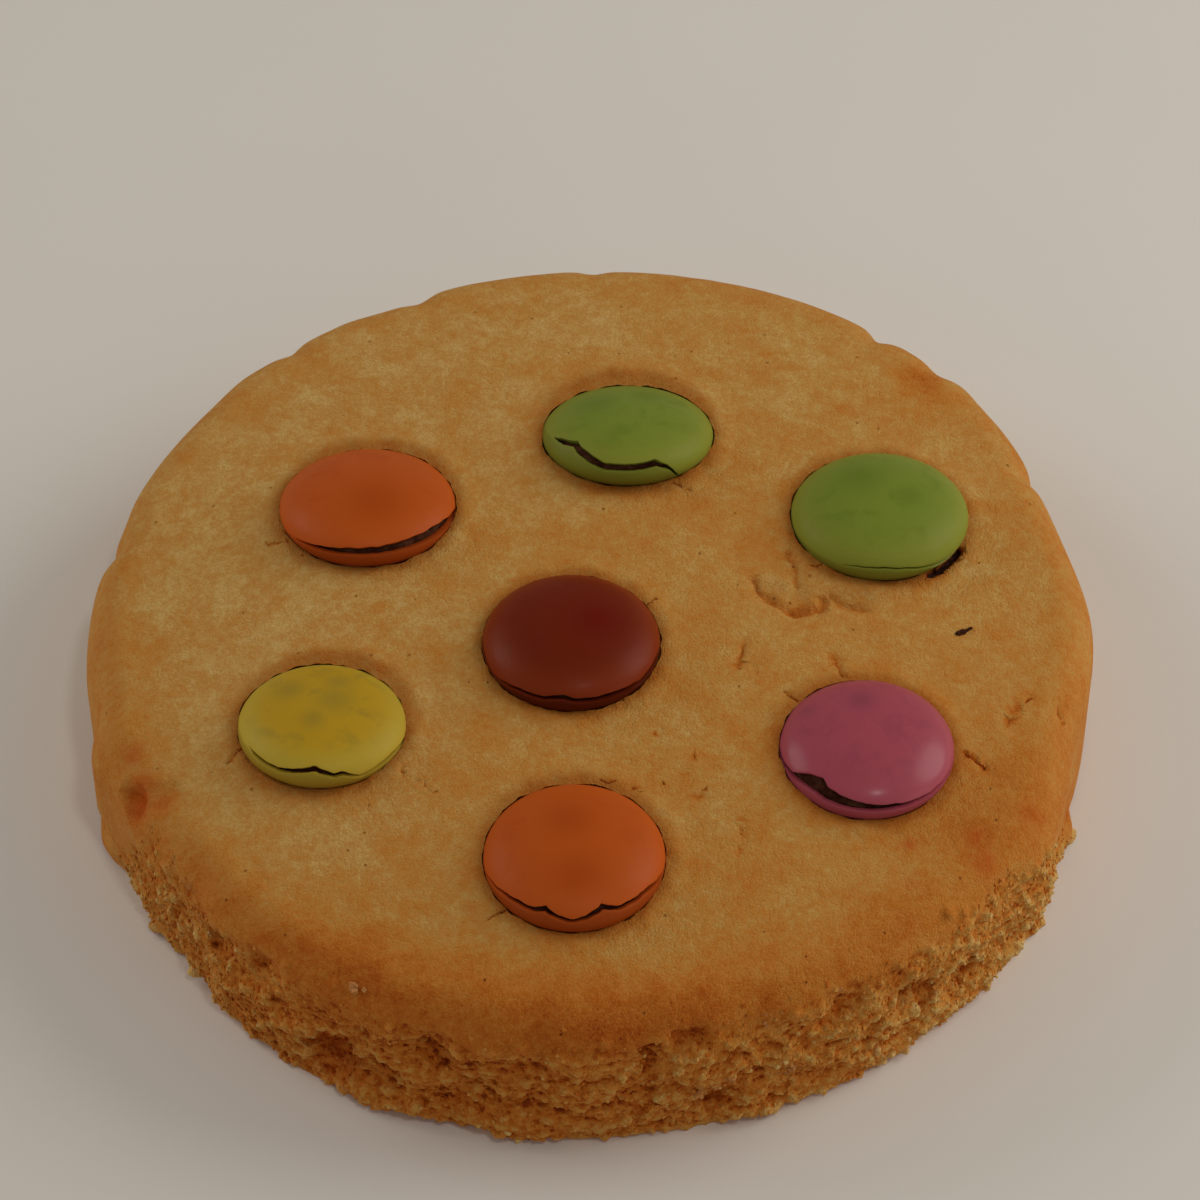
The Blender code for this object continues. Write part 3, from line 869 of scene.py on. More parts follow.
def make_shell(button, finish):
    """One sugar shell: a lentil whose rings follow the crack, opened there and given a wall."""
    shell = make_lentil("sugar_" + button, button, SHELL_SEGMENTS, SHELL_RINGS, 0.0)
    _, radius = button_place(button)
    half = radius * HALF_HEIGHT_SHARE
    mesh = shell.data
    places = places_of(mesh)
    latitude = latitude_of(places[:, 2] / half, 1.0)
    ring = np.rint((latitude + 90.0) / 180.0 * SHELL_RINGS).astype(int)
    angles = np.degrees(np.arctan2(places[:, 1], places[:, 0]))
    low, high, opened = crack_lines(button, angles)
    low_latitude = latitude_of(low / half, CRACK_REACH)
    high_latitude = latitude_of(high / half, CRACK_REACH)
    low_fixed = ring_latitude(CRACK_LOW_RING)
    high_fixed = ring_latitude(CRACK_HIGH_RING)
    fixed = ring_latitude(ring)
    below = -90.0 + (fixed + 90.0) * (low_latitude + 90.0) / (low_fixed + 90.0)
    above = 90.0 - (90.0 - fixed) * (90.0 - high_latitude) / (90.0 - high_fixed)
    between = (low_latitude + high_latitude) / 2
    turned = np.where(ring <= CRACK_LOW_RING, below, np.where(ring >= CRACK_HIGH_RING, above, between))
    pole = (ring == 0) | (ring == SHELL_RINGS)
    turned = np.radians(np.where(pole, fixed, turned))
    turn = np.radians(angles)
    shaped = np.stack((np.cos(turn) * np.cos(turned) * radius,
                       np.sin(turn) * np.cos(turned) * radius,
                       np.sin(turned) * half), axis=1)
    shaped[pole] = places[pole]
    move_to(mesh, shaped)
    inner_ring = set(np.nonzero((ring == (CRACK_LOW_RING + CRACK_HIGH_RING) // 2) & opened)[0].tolist())
    choose_none(shell, "FACE")
    for polygon in mesh.polygons:
        polygon.select = any(corner in inner_ring for corner in polygon.vertices)
    bpy.ops.object.mode_set(mode="EDIT")
    bpy.ops.mesh.delete(type="FACE")
    bpy.ops.object.mode_set(mode="OBJECT")
    apply_modifier(shell, "SOLIDIFY", thickness=SHELL_WALL, offset=-1.0, use_rim=True)
    apply_modifier(shell, "BEVEL", width=CRACK_EDGE_BEVEL, segments=2, limit_method="ANGLE",
                   angle_limit=math.radians(BEVEL_ANGLE))
    places = places_of(mesh)
    write_attribute(mesh, "crown", places[:, 2] / half)
    patch = np.zeros(len(places))
    for x, y, reach in PATCHES[button]:
        patch = np.maximum(patch, nearness(places, x, y, reach))
    write_attribute(mesh, "patch", patch)
    low, high, _ = crack_lines(button, np.degrees(np.arctan2(places[:, 1], places[:, 0])))
    # Where the strip below the crack lies, for the painted shade there
    write_attribute(mesh, "below", step_up((low + high) / 2 - places[:, 2], 0.0, SHADE_BELOW_FADE))
    seat(shell, button)
    dress(shell, finish)
    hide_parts("shell_" + button)
    return shell


def make_centre(button, finish):
    """The chocolate centre, slightly uneven, close behind the shell."""
    centre = make_lentil("centre_" + button, button, CENTRE_SEGMENTS, CENTRE_RINGS,
                         -SHELL_WALL - CENTRE_GAP)
    places = places_of(centre.data)
    bumps = np.minimum(rough(places, CENTRE_BUMP_PERIOD, 3), CENTRE_BUMP_LIMIT)
    length = np.linalg.norm(places, axis=1)[:, None]
    places += places / length * (bumps * CENTRE_BUMP * MM)[:, None]
    move_to(centre.data, places)
    seat(centre, button)
    dress(centre, finish)
    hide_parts("chocolate_" + button)
    return centre


def cut_sockets(dough):
    """Cut a ragged hollow for each button out of the remeshed dough."""
    for button in BUTTONS:
        cutter = make_lentil("socket_" + button, button, SOCKET_SEGMENTS, SOCKET_RINGS, SOCKET_GAP)
        seat(cutter, button)
        places = places_of(cutter.data)
        ragged = SOCKET_RAGGED * rough(places, SOCKET_RAGGED_PERIOD, 2)
        places += normals_of(cutter.data) * ragged[:, None]
        move_to(cutter.data, places)
        apply_modifier(dough, "BOOLEAN", operation="DIFFERENCE", solver="MANIFOLD", object=cutter)
        remove(cutter)


# Fine cracks of the top

def beside(centre, away, turn):
    """The point at this distance and angle from a button's middle."""
    return centre.x + away * math.cos(turn), centre.y + away * math.sin(turn)


def hairline_paths():
    """Short radial cracks of the dough round each button, mostly in front of it."""
    draw = np.random.default_rng(5)
    paths = []
    for button in BUTTONS:
        centre, radius = button_place(button)
        for _ in range(HAIRLINES_PER_BUTTON):
            angle = math.radians(draw.normal(-90.0, 75.0))
            bend = draw.normal(0.0, 0.09)
            reach = draw.uniform(0.7, 2.3) * MM
            path = [beside(centre, radius + SOCKET_GAP - 0.1 * MM + reach * share, angle + bend * share)
                    for share in (0.0, 0.5, 1.0)]
            paths.append((path, HAIRLINE_HALF_WIDTH, HAIRLINE_DEPTH, HAIRLINE_CREVICE_SHADE))
    return paths


def crack_paths():
    """Every crack of the top as (points, half width, depth, darkness)."""
    cracks = [([(x * MM, y * MM) for x, y in points], half_width * MM, depth * MM, crevice_shade)
              for points, half_width, depth, crevice_shade in TOP_CRACKS]
    button, angles, out, half_width, depth, crevice_shade = RIM_GAP
    centre, radius = button_place(button)
    gap = [beside(centre, radius + out * MM, math.radians(angle)) for angle in angles]
    return cracks + [(gap, half_width * MM, depth * MM, crevice_shade)] + hairline_paths()


def refine(dough, cracks):
    """Divide the faces near the cracks, so that fine cracks can be cut there."""
    mesh = dough.data
    places = places_of(mesh)
    close = np.zeros(len(places), bool)
    top = places[:, 2] > WALL_TOP + SHOULDER_DROP / 2
    for points, half_width, _, _ in cracks:
        path = [np.array(point) for point in points]
        close |= top & (distance_to_path(places[:, :2], path) < half_width + REFINE_REACH)
    choose_none(dough, "VERT")
    mesh.vertices.foreach_set("select", close)
    bpy.ops.object.mode_set(mode="EDIT")
    bpy.ops.mesh.subdivide(number_cuts=REFINE_CUTS)
    bpy.ops.object.mode_set(mode="OBJECT")


def carve_cracks(dough, cracks):
    """Press the jagged cracks into the top and write the painted shade along them."""
    mesh = dough.data
    places = places_of(mesh)
    normals = normals_of(mesh)
    top = (places[:, 2] > WALL_TOP + SHOULDER_DROP / 2) & (normals[:, 2] > CRACK_FACING)
    spots = places[top][:, :2]
    flat = np.column_stack((spots, np.zeros(len(spots))))
    jitter = np.column_stack((rough(flat, CRACK_JITTER_PERIOD, 2),
                              rough(flat + 0.3, CRACK_JITTER_PERIOD, 2))) * CRACK_JITTER
    depth = np.zeros(len(spots))
    line = np.zeros(len(spots))
    for points, half_width, most, crevice_shade in cracks:
        path = [np.array(point) for point in points]
        share = distance_to_path(spots + jitter, path) / half_width
        depth = np.maximum(depth, most * np.exp(-share * share))
        line = np.maximum(line, crevice_shade * np.exp(-(CRACK_LINE_NARROWER * share) ** 2))
    places[top, 2] -= depth
    move_to(mesh, places)
    # The painted shade along the cracks
    dark = np.zeros(len(places))
    dark[top] = line
    write_attribute(mesh, "crack", dark)


# What the material reads from the dough

# How far the ring of browning and painted shade reaches out from each button
RING_SHADE_REACH = 0.8 * MM
GRAIN_FACING = -0.6
HOLLOW_SCALES = ((6, 0.10 * MM), (40, 0.35 * MM))
CRUMB_RADII = (35.0 * MM, 37.0 * MM)
# How baked the middle is, how much more the right is, and how much less the back is
MIDDLE_BAKE = 0.26
RIGHT_BAKE = 0.03
BACK_BAKE = 0.06
# The browned rim and side: the least, what the front adds, the front's angle and half width
RIM_BAKE = (0.09, 0.31, -102.0, 52.0)
SIDE_BAKE = (0.34, 0.25, -104.0, 48.0)
RIM_RADII = (32.5 * MM, 39.5 * MM)
RIM_RAGGED = 0.8 * MM
RIM_RAGGED_PERIOD = 3.0 * MM
UNDERSIDE_BAKE = 0.72
UNDERSIDE_CRUMB = 0.3
UNDERSIDE_TOP = 1.0 * MM
# Browner patches of the crust: x, y and reach in mm, then the share
BROWN_PATCHES = (
    (27.9, 25.8, 2.4, 0.40),
    (21.2, 21.5, 0.7, 0.35),
    (16.7, -0.4, 1.0, 0.20),
    (30.3, -23.9, 1.3, 0.30),
    (34.0, -19.4, 1.4, 0.28),
    (-32.6, -17.9, 1.3, 0.30),
    (-35.6, -18.0, 1.5, 0.40),
    (-37.6, -8.0, 2.6, 0.20),
)
# Rusty spots: x, y, z and reach in mm, then the share
RUST_SPOTS = (
    (29.7, -22.0, 14.6, 0.8, 0.9),
    (30.4, -24.0, 14.0, 1.1, 0.6),
    (34.0, -19.4, 13.6, 1.2, 0.4),
    (24.6, -23.1, 15.2, 0.45, 0.9),
    (24.6, -26.6, 15.0, 0.5, 0.6),
    (-34.5, -17.0, 12.7, 1.4, 1.0),
    (-32.8, -18.3, 14.6, 1.0, 0.5),
    (-35.2, -13.8, 14.0, 0.9, 0.6),
    (-38.3, -2.2, 12.8, 0.9, 0.5),
    (-18.8, -33.8, 4.6, 1.8, 0.6),
)
# Paler or darker parts of the top: x, y and reach in mm, then the change
TONES = (
    (-26.0, 0.0, 14.0, -0.08),
    (-24.0, -20.0, 9.0, -0.06),
    (31.0, 5.0, 7.0, -0.04),
    (9.0, 8.0, 8.0, 0.05),
    (30.0, -18.0, 10.0, 0.08),
)


def smoothed(values, edges, rounds):
    """Values averaged with their neighbours along the edges, over and over."""
    count = np.zeros(len(values))
    np.add.at(count, edges[:, 0], 1.0)
    np.add.at(count, edges[:, 1], 1.0)
    count = np.maximum(count, 1.0)
    for _ in range(rounds):
        total = np.zeros_like(values)
        for axis in range(values.shape[1]):
            total[:, axis] += np.bincount(edges[:, 0], values[edges[:, 1], axis], len(values))
            total[:, axis] += np.bincount(edges[:, 1], values[edges[:, 0], axis], len(values))
        values = 0.5 * values + 0.5 * total / count[:, None]
    return values


def bake_round(angles, least, extra, front, half_width):
    """How baked the rim or the side is at each angle, more so at the front."""
    return least + extra * np.exp(-((angles - front) / half_width) ** 2)


def read_dough(dough):
    """Write at each vertex how browned, crumbly and hollow it is, and its browned, painted-shade rings.
    """
    mesh = dough.data
    places = places_of(mesh)
    normals = normals_of(mesh)
    radii = np.hypot(places[:, 0], places[:, 1])
    angles = np.degrees(np.arctan2(places[:, 1], places[:, 0]))
    edges = np.empty(len(mesh.edges) * 2, np.int32)
    mesh.edges.foreach_get("vertices", edges)
    edges = edges.reshape(-1, 2)
    hollow = np.zeros(len(places))
    for rounds, most in HOLLOW_SCALES:
        away = ((smoothed(places.copy(), edges, rounds) - places) * normals).sum(1)
        hollow += 0.5 * np.clip(away / most, -1.0, 1.0)
    crumb = crumb_share(places) * step_up(radii, *CRUMB_RADII)
    plain = MIDDLE_BAKE + RIGHT_BAKE * places[:, 0] / BISCUIT_RADIUS
    plain -= BACK_BAKE * places[:, 1] / BISCUIT_RADIUS
    turned = np.where(angles > 80.0, angles - 360.0, angles)
    for x, y, reach, change in TONES:
        plain += change * nearness(places, x, y, reach)
    rust = np.zeros(len(places))
    for x, y, z, reach, share in RUST_SPOTS:
        away = (places - np.array((x, y, z)) * MM) * np.array((1.0, 1.0, 0.5)) / (reach * MM)
        rust = np.maximum(rust, share * np.exp(-(away ** 2).sum(1)))
    ragged = RIM_RAGGED * rough(places, RIM_RAGGED_PERIOD, 3)
    rim_bake = bake_round(turned, *RIM_BAKE) * step_up(radii + ragged, *RIM_RADII)
    for x, y, reach, share in BROWN_PATCHES:
        patch = share * nearness(places, x, y, reach) * (normals[:, 2] > 0.3)
        rim_bake = np.maximum(rim_bake, patch)
    browned = (plain + rim_bake) * (1.0 - crumb) + bake_round(turned, *SIDE_BAKE) * crumb
    under = (normals[:, 2] < -0.5) & (places[:, 2] < UNDERSIDE_TOP)
    browned = np.where(under, UNDERSIDE_BAKE, browned)
    crumb = np.where(under, UNDERSIDE_CRUMB, crumb)
    # A ring round each button, for its browning and the painted shade where the dough meets it
    rim = np.zeros(len(places))
    for button in BUTTONS:
        centre, radius = button_place(button)
        away = np.hypot(places[:, 0] - centre.x, places[:, 1] - centre.y) - radius
        rim = np.maximum(rim, np.exp(-(np.maximum(away, 0.0) / RING_SHADE_REACH) ** 2))
    write_attribute(mesh, "browned", browned)
    write_attribute(mesh, "crumb", crumb)
    write_attribute(mesh, "hollow", hollow)
    write_attribute(mesh, "rust", rust)
    # The ring round each button: browner dough, and painted shade where the dough meets the button
    write_attribute(mesh, "ring_shade_browning", rim * (places[:, 2] > WALL_TOP))
    write_attribute(mesh, "open", crumb * (places[:, 2] > GRAIN_FLOOR) * (normals[:, 2] > GRAIN_FACING))


# Finishes

def blend_colours(tree, share, first, second, mode="MIX"):
    """The colour between two others."""
    node = add_node(tree, "ShaderNodeMix", {0: share, 6: first, 7: second},
                    data_type="RGBA", blend_type=mode)
    return node.outputs[2]


def remap(tree, value, low, high, to_low=0.0, to_high=1.0):
    """A value spread smoothly from one range to another."""
    node = add_node(tree, "ShaderNodeMapRange",
                    {"Value": value, "From Min": low, "From Max": high,
                     "To Min": to_low, "To Max": to_high}, interpolation_type="SMOOTHSTEP")
    return node.outputs[0]


def calculate(tree, operation, first, second=0.0):
    """One sum of two values."""
    return add_node(tree, "ShaderNodeMath", {0: first, 1: second}, operation=operation).outputs[0]


def times(tree, first, second):
    """The product of two values."""
    return calculate(tree, "MULTIPLY", first, second)


def grainy(tree, vector, size, detail=2.0, distortion=0.0):
    """Noise with spots of about this size in metres."""
    node = add_node(tree, "ShaderNodeTexNoise",
                    {"Vector": vector, "Scale": 1.0 / size, "Detail": detail,
                     "Roughness": 0.55, "Distortion": distortion})
    return node.outputs[0]


def cells(tree, vector, size):
    """Cells of about this size in metres: how far their middle is and a number for each."""
    node = add_node(tree, "ShaderNodeTexVoronoi", {"Vector": vector, "Scale": 1.0 / size})
    own = add_node(tree, "ShaderNodeSeparateColor", {"Color": node.outputs["Color"]})
    return node.outputs["Distance"], own.outputs["Red"]


def colour(red, green, blue):
    return (red, green, blue, 1.0)


def new_group(name, inputs, outputs):
    """A shader node group with named inputs and outputs, and its two end nodes."""
    tree = bpy.data.node_groups.new(name, "ShaderNodeTree")
    for label, kind in inputs:
        tree.interface.new_socket(label, in_out="INPUT", socket_type=kind)
    for label, kind in outputs:
        tree.interface.new_socket(label, in_out="OUTPUT", socket_type=kind)
    return tree, tree.nodes.new("NodeGroupInput"), tree.nodes.new("NodeGroupOutput")


FLOAT = "NodeSocketFloat"
VECTOR = "NodeSocketVector"
COLOUR = "NodeSocketColor"
SKIN_OUTPUTS = (("Colour", COLOUR), ("Roughness", FLOAT), ("Height", FLOAT))

# What the dough's mesh says about each place, in attributes with these names in small letters
DOUGH_LABELS = ("Browned", "Crumb", "Hollow", "Ring_Shade_Browning", "Crack", "Rust", "Tint")
# Below marks the strip under the crack, which gets painted shade
SUGAR_LABELS = ("Crown", "Patch", "Below")

# The crust's colours: how baked, then red, green and blue
CRUST_COLOURS = (
    (0.00, 0.700, 0.460, 0.160),
    (0.15, 0.625, 0.358, 0.098),
    (0.30, 0.582, 0.276, 0.056),
    (0.50, 0.570, 0.208, 0.028),
    (0.70, 0.515, 0.145, 0.012),
    (0.86, 0.440, 0.094, 0.005),
    (1.00, 0.260, 0.042, 0.002),
)


def fill_ramp(ramp, rows):
    """Set a ramp's two ends and add the colours between them."""
    for element, (spot, *shade) in ((ramp.elements[0], rows[0]), (ramp.elements[1], rows[-1])):
        element.position = spot
        element.color = colour(*shade)
    for spot, *shade in rows[1:-1]:
        ramp.elements.new(spot).color = colour(*shade)


def build_dough_group():
    """Baked dough: pale to browned crust, sandy crumb and their fine grain, with painted shade and
    highlights.
    """
    inputs = (("Place", VECTOR), *((label, FLOAT) for label in DOUGH_LABELS))
    tree, entry, result = new_group("baked_skin", inputs, SKIN_OUTPUTS)
    place, browned, crumb, hollow, ring_shade_browning, crack, rust, tint = list(entry.outputs)[:len(inputs)]
    patch = grainy(tree, place, 4.0 * MM, 4.0, 0.4)
    blot = grainy(tree, place, 1.5 * MM, 3.0, 0.3)
    grain = grainy(tree, place, 0.60 * MM, 2.0)
    far, own = cells(tree, place, 0.16 * MM)
    # Pinholes: pressed in by the bump and darkened with painted shade
    hole, chance = cells(tree, place, 1.5 * MM)
    hole = times(tree, remap(tree, hole, 0.09, 0.04), remap(tree, chance, 0.70, 0.72))
    speckle, kind = cells(tree, place, 0.42 * MM)
    bright = times(tree, remap(tree, kind, 0.80, 0.92), remap(tree, speckle, 0.42, 0.18))
    # Dark pores: painted shade of tiny pits
    pore = times(tree, remap(tree, kind, 0.14, 0.06), remap(tree, speckle, 0.22, 0.12))
    # Painted shade in the dough's hollows, stronger on the crumb
    painted_pocket_shade = times(tree, remap(tree, hollow, 0.02, 0.85, 0.0, 0.32),
                   remap(tree, crumb, 0.0, 1.0, 0.6, 1.0))
    # Painted highlight on the crumb's jutting tips
    painted_tip_highlight = times(tree, remap(tree, hollow, -0.10, -0.90, 0.0, -0.28), crumb)
    bake = browned
    for part in (remap(tree, patch, 0.30, 0.72, -0.045, 0.12),
                 remap(tree, blot, 0.34, 0.68, -0.04, 0.07),
                 times(tree, bright, -0.06),
                 times(tree, pore, 0.20),
                 remap(tree, grain, 0.30, 0.70, -0.04, 0.05),
                 remap(tree, own, 0.0, 1.0, -0.06, 0.07),
                 times(tree, hole, 0.3),
                 # Browner dough in the ring round each button
                 times(tree, ring_shade_browning, 0.18),
                 painted_pocket_shade, painted_tip_highlight, times(tree, tint, -0.22), crack):
        bake = calculate(tree, "ADD", bake, part)
    crust = add_node(tree, "ShaderNodeValToRGB", {"Fac": bake})
    fill_ramp(crust.color_ramp, CRUST_COLOURS)
    rusty = times(tree, rust, remap(tree, blot, 0.25, 0.50, 0.6, 1.0))
    shade = blend_colours(tree, rusty, crust.outputs["Color"], colour(0.520, 0.085, 0.005))
    # Past full bake the colour falls to near black: painted shadow in the gap by green_right and deep
    # cracks
    shade = blend_colours(tree, remap(tree, bake, 1.0, 1.5, 0.0, 0.9), shade, colour(0.020, 0.008, 0.004))
    # Painted shade darkens the ring round each button
    shade = blend_colours(tree, times(tree, ring_shade_browning, 0.6), shade, colour(0.62, 0.56, 0.50), "MULTIPLY")
    sand = calculate(tree, "SUBTRACT", 0.6, far)
    height = calculate(tree, "ADD", times(tree, sand, 0.18), times(tree, grain, 0.35))
    height = calculate(tree, "SUBTRACT", height, times(tree, hole, 0.6))
    feed(tree, result, {"Colour": shade, "Height": height,
                        "Roughness": remap(tree, grain, 0.3, 0.7, 0.72, 0.88)})
    return tree


def build_sugar_group():
    """A sugar shell: a mottled colour, a soft gloss, a faint unevenness and painted shade below its
    crack.
    """
    tree, entry, result = new_group(
        "sugar_skin",
        (("Place", VECTOR), ("Base", COLOUR), ("Dark", COLOUR), ("Light", COLOUR),
         ("Mottling", FLOAT), ("Crown", FLOAT), ("Patch", FLOAT), ("Below", FLOAT),
         ("Painted Shade Share", FLOAT)),
        SKIN_OUTPUTS,
    )
    place = entry.outputs["Place"]
    close = grainy(tree, place, 1.9 * MM, 3.0, 0.5)
    fine = grainy(tree, place, 0.5 * MM, 2.0)
    dark = times(tree, remap(tree, close, 0.46, 0.70), entry.outputs["Mottling"])
    dark = calculate(tree, "MAXIMUM", dark, entry.outputs["Patch"])
    rim = remap(tree, entry.outputs["Crown"], 0.35, 0.85, 0.9, 0.0)
    shade = blend_colours(tree, dark, entry.outputs["Base"], entry.outputs["Dark"])
    shade = blend_colours(tree, rim, shade, entry.outputs["Light"])
    spots = times(tree, remap(tree, fine, 0.66, 0.78), 0.35)
    spots = times(tree, spots, entry.outputs["Mottling"])
    shade = blend_colours(tree, spots, shade, entry.outputs["Dark"])
    # Painted shade on the strip below the crack, where the cap overhangs it
    below = times(tree, entry.outputs["Below"], entry.outputs["Painted Shade Share"])
    shade = blend_colours(tree, below, shade, colour(0.22, 0.14, 0.12), "MULTIPLY")
    height = calculate(tree, "ADD", times(tree, close, 0.7), times(tree, fine, 0.3))
    feed(tree, result, {"Colour": shade, "Height": height,
                        "Roughness": remap(tree, close, 0.3, 0.7, 0.38, 0.48)})
    return tree


def start_material(name):
    """A new material with its shader and an object coordinate."""
    material = bpy.data.materials.new(name)
    material.use_nodes = True
    tree = material.node_tree
    place = add_node(tree, "ShaderNodeTexCoord").outputs["Object"]
    return material, tree, tree.nodes["Principled BSDF"], place


def skin_material(name, group_tree, labels, relief, specular):
    """A material made by a group, which reads what the mesh says about each place."""
    material, tree, shader, place = start_material(name)
    group = add_node(tree, "ShaderNodeGroup", node_tree=group_tree)
    feed(tree, group, {"Place": place})
    for label in labels:
        source = add_node(tree, "ShaderNodeAttribute", attribute_name=label.lower())
        feed(tree, group, {label: source.outputs["Fac"]})
    bump = add_node(tree, "ShaderNodeBump",
                    {"Height": group.outputs["Height"], "Distance": relief, "Strength": 1.0})
    feed(tree, shader, {"Base Color": group.outputs["Colour"],
                        "Roughness": group.outputs["Roughness"],
                        "Normal": bump.outputs["Normal"], "Specular IOR Level": specular})
    return material, tree, shader, group


def dough_material(name, group_tree, relief):
    """Baked dough."""
    return skin_material(name, group_tree, DOUGH_LABELS, relief, 0.15)[0]


# Each sugar colour: its body, its dark patches, its rim, how mottled and how polished it is, and
# how much painted shade darkens it below its crack
SUGAR_COLOURS = {
    "orange": ((0.530, 0.092, 0.009), (0.450, 0.069, 0.005), (0.570, 0.102, 0.012), 0.4, 0.0, 0.45),
    "green": ((0.200, 0.253, 0.028), (0.155, 0.208, 0.020), (0.262, 0.278, 0.032), 0.7, 0.0, 0.25),
    "red": ((0.165, 0.016, 0.002), (0.155, 0.007, 0.001), (0.245, 0.033, 0.005), 0.3, 0.03, 0.75),
    "yellow": ((0.525, 0.305, 0.014), (0.390, 0.245, 0.021), (0.560, 0.395, 0.042), 0.9, 0.0, 0.38),
    "pink": ((0.410, 0.069, 0.094), (0.300, 0.053, 0.080), (0.435, 0.078, 0.104), 0.5, 0.28, 0.15),
}


def sugar_material(name, group_tree):
    """One colour of sugar shell."""
    base, dark, light, mottling, polish, painted_shade_below = SUGAR_COLOURS[name]
    material, tree, shader, group = skin_material("sugar_" + name, group_tree, SUGAR_LABELS,
                                                  0.04 * MM, 0.09)
    feed(tree, group, {"Base": colour(*base), "Dark": colour(*dark), "Light": colour(*light),
                       "Mottling": mottling, "Painted Shade Share": painted_shade_below})
    feed(tree, shader, {"Coat Weight": polish, "Coat Roughness": 0.22})
    return material


def chocolate_material():
    """Dark chocolate with a dull, slightly bloomed surface."""
    material, tree, shader, place = start_material("chocolate")
    bloom = remap(tree, grainy(tree, place, 0.9 * MM, 3.0), 0.35, 0.75)
    shade = blend_colours(tree, bloom, colour(0.042, 0.010, 0.005), colour(0.110, 0.042, 0.018))
    bump = add_node(tree, "ShaderNodeBump", {"Height": bloom, "Distance": 0.08 * MM})
    feed(tree, shader, {"Base Color": shade, "Roughness": remap(tree, bloom, 0.0, 1.0, 0.6, 0.75),
                        "Specular IOR Level": 0.03, "Normal": bump.outputs["Normal"]})
    return material


def pale_material():
    """Pale, sugary crumbs."""
    material, tree, shader, place = start_material("pale_crumbs")
    tone = remap(tree, grainy(tree, place, 0.4 * MM, 2.0), 0.35, 0.65)
    shade = blend_colours(tree, tone, colour(0.560, 0.250, 0.080), colour(0.520, 0.215, 0.055))
    feed(tree, shader, {"Base Color": shade, "Roughness": 0.7, "Specular IOR Level": 0.1})
    return material


def speck_material():
    """A burnt speck, nearly black."""
    material, tree, shader, place = start_material("burnt_speck")
    char = grainy(tree, place, 0.3 * MM, 3.0)
    shade = blend_colours(tree, char, colour(0.010, 0.005, 0.004), colour(0.090, 0.028, 0.012))
    feed(tree, shader, {"Base Color": shade, "Roughness": remap(tree, char, 0.3, 0.7, 0.6, 0.9),
                        "Specular IOR Level": 0.05})
    return material


def dress(piece, material):
    """Give a piece its one finish and its body, with smooth faces."""
    piece.data.materials.clear()
    piece.data.materials.append(material)
    pick(piece)
    bpy.ops.object.shade_smooth()
    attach(piece, ROOT)


# The pieces

def make_dough(material):
    """The whole biscuit, in place of its solid."""
    dough = turn_dough()
    sculpt_side(dough)
    sculpt_top(dough)
    fuse_clumps(dough)
    roughen_crumb(dough)
    cut_sockets(dough)
    triangles = len(dough.data.polygons) * 2
    apply_modifier(dough, "DECIMATE", decimate_type="COLLAPSE",
                   ratio=min(1.0, KEPT_TRIANGLES / triangles), use_collapse_triangulate=True)
    cracks = crack_paths()
    refine(dough, cracks)
    carve_cracks(dough, cracks)
    places = places_of(dough.data)
    places[:, 2] = np.where(places[:, 2] < BASE_FLAT_UNDER, 0.0, places[:, 2])
    move_to(dough.data, places)
    read_dough(dough)
    dress(dough, material)
    bpy.ops.object.shade_smooth_by_angle(angle=math.radians(FACET_ANGLE))
    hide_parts("biscuit")
    return dough


def make_side_grains(dough, material):
    """Sandy grains over the open side."""
    grains = [make_grain("grain_%d" % turn, turn + 9) for turn in range(6)]
    sandy = scatter("side_grains", dough, grains, GRAIN_SPACING, GRAIN_SIZES, 0.0, "open", 31)
    for grain in grains:
        remove(grain)
    dress(sandy, material)
    bpy.ops.object.shade_flat()
    return sandy


def put_grain(name, shape, place, size, seed):
    """One grain of this shape at a place, turned by its seed."""
    grain = shape(name, seed)
    turn = Euler((seed * 1.7, seed * 2.3, seed * 0.9)).to_matrix().to_4x4()
    grain.data.transform(Matrix.Translation(place) @ turn @ Matrix.Scale(size, 4))
    return grain


def make_crumbs(name, shape, clusters, dough, material):
    """Crumbs in clusters that stick to the dough, joined into one piece."""
    draw = np.random.default_rng(8)
    crumbs = []
    for x, y, z, spread, count, size in clusters:
        for _ in range(count):
            aim = Vector((x * MM, y * MM, z * MM)) + Vector(draw.normal(0.0, spread * MM, 3))
            grown = size * MM * draw.uniform(0.6, 1.3)
            _, place, outward, _ = dough.closest_point_on_mesh(aim)
            place = place + outward * 0.1 * grown
            place.z = max(place.z, 1.3 * grown)
            crumbs.append(put_grain(name, shape, place, grown, len(crumbs) + 3))
    join(crumbs)
    piece = name_new(name)
    dress(piece, material)
    bpy.ops.object.shade_flat()
    return piece


def make_speck(material):
    """The burnt speck on the right of the top: a dark body with a thin tail."""
    lumps = []
    for x, y, reach, height in SPECK_LUMPS:
        deselect_all()
        bpy.ops.mesh.primitive_ico_sphere_add(subdivisions=3, radius=1.0)
        lump = bpy.context.object
        places = places_of(lump.data)
        places *= (1.0 + 0.35 * rough(places + x, 0.8, 3))[:, None]
        places = places * np.array((reach, 0.7 * reach, height)) * MM + np.array((x, y, 0.0)) * MM
        move_to(lump.data, places)
        lumps.append(lump)
    join(lumps)
    speck = name_new("burnt_speck")
    apply_modifier(speck, "REMESH", mode="VOXEL", voxel_size=SPECK_VOXEL)
    middle = Vector((*SPECK_PLACE, 0.0))
    middle.z = dome_height(math.hypot(middle.x, middle.y)) + SPECK_RISE
    turn = Euler((0.0, 0.0, math.radians(SPECK_TURN))).to_matrix().to_4x4()
    speck.data.transform(Matrix.Translation(middle) @ turn)
    dress(speck, material)
    return speck


# The studio

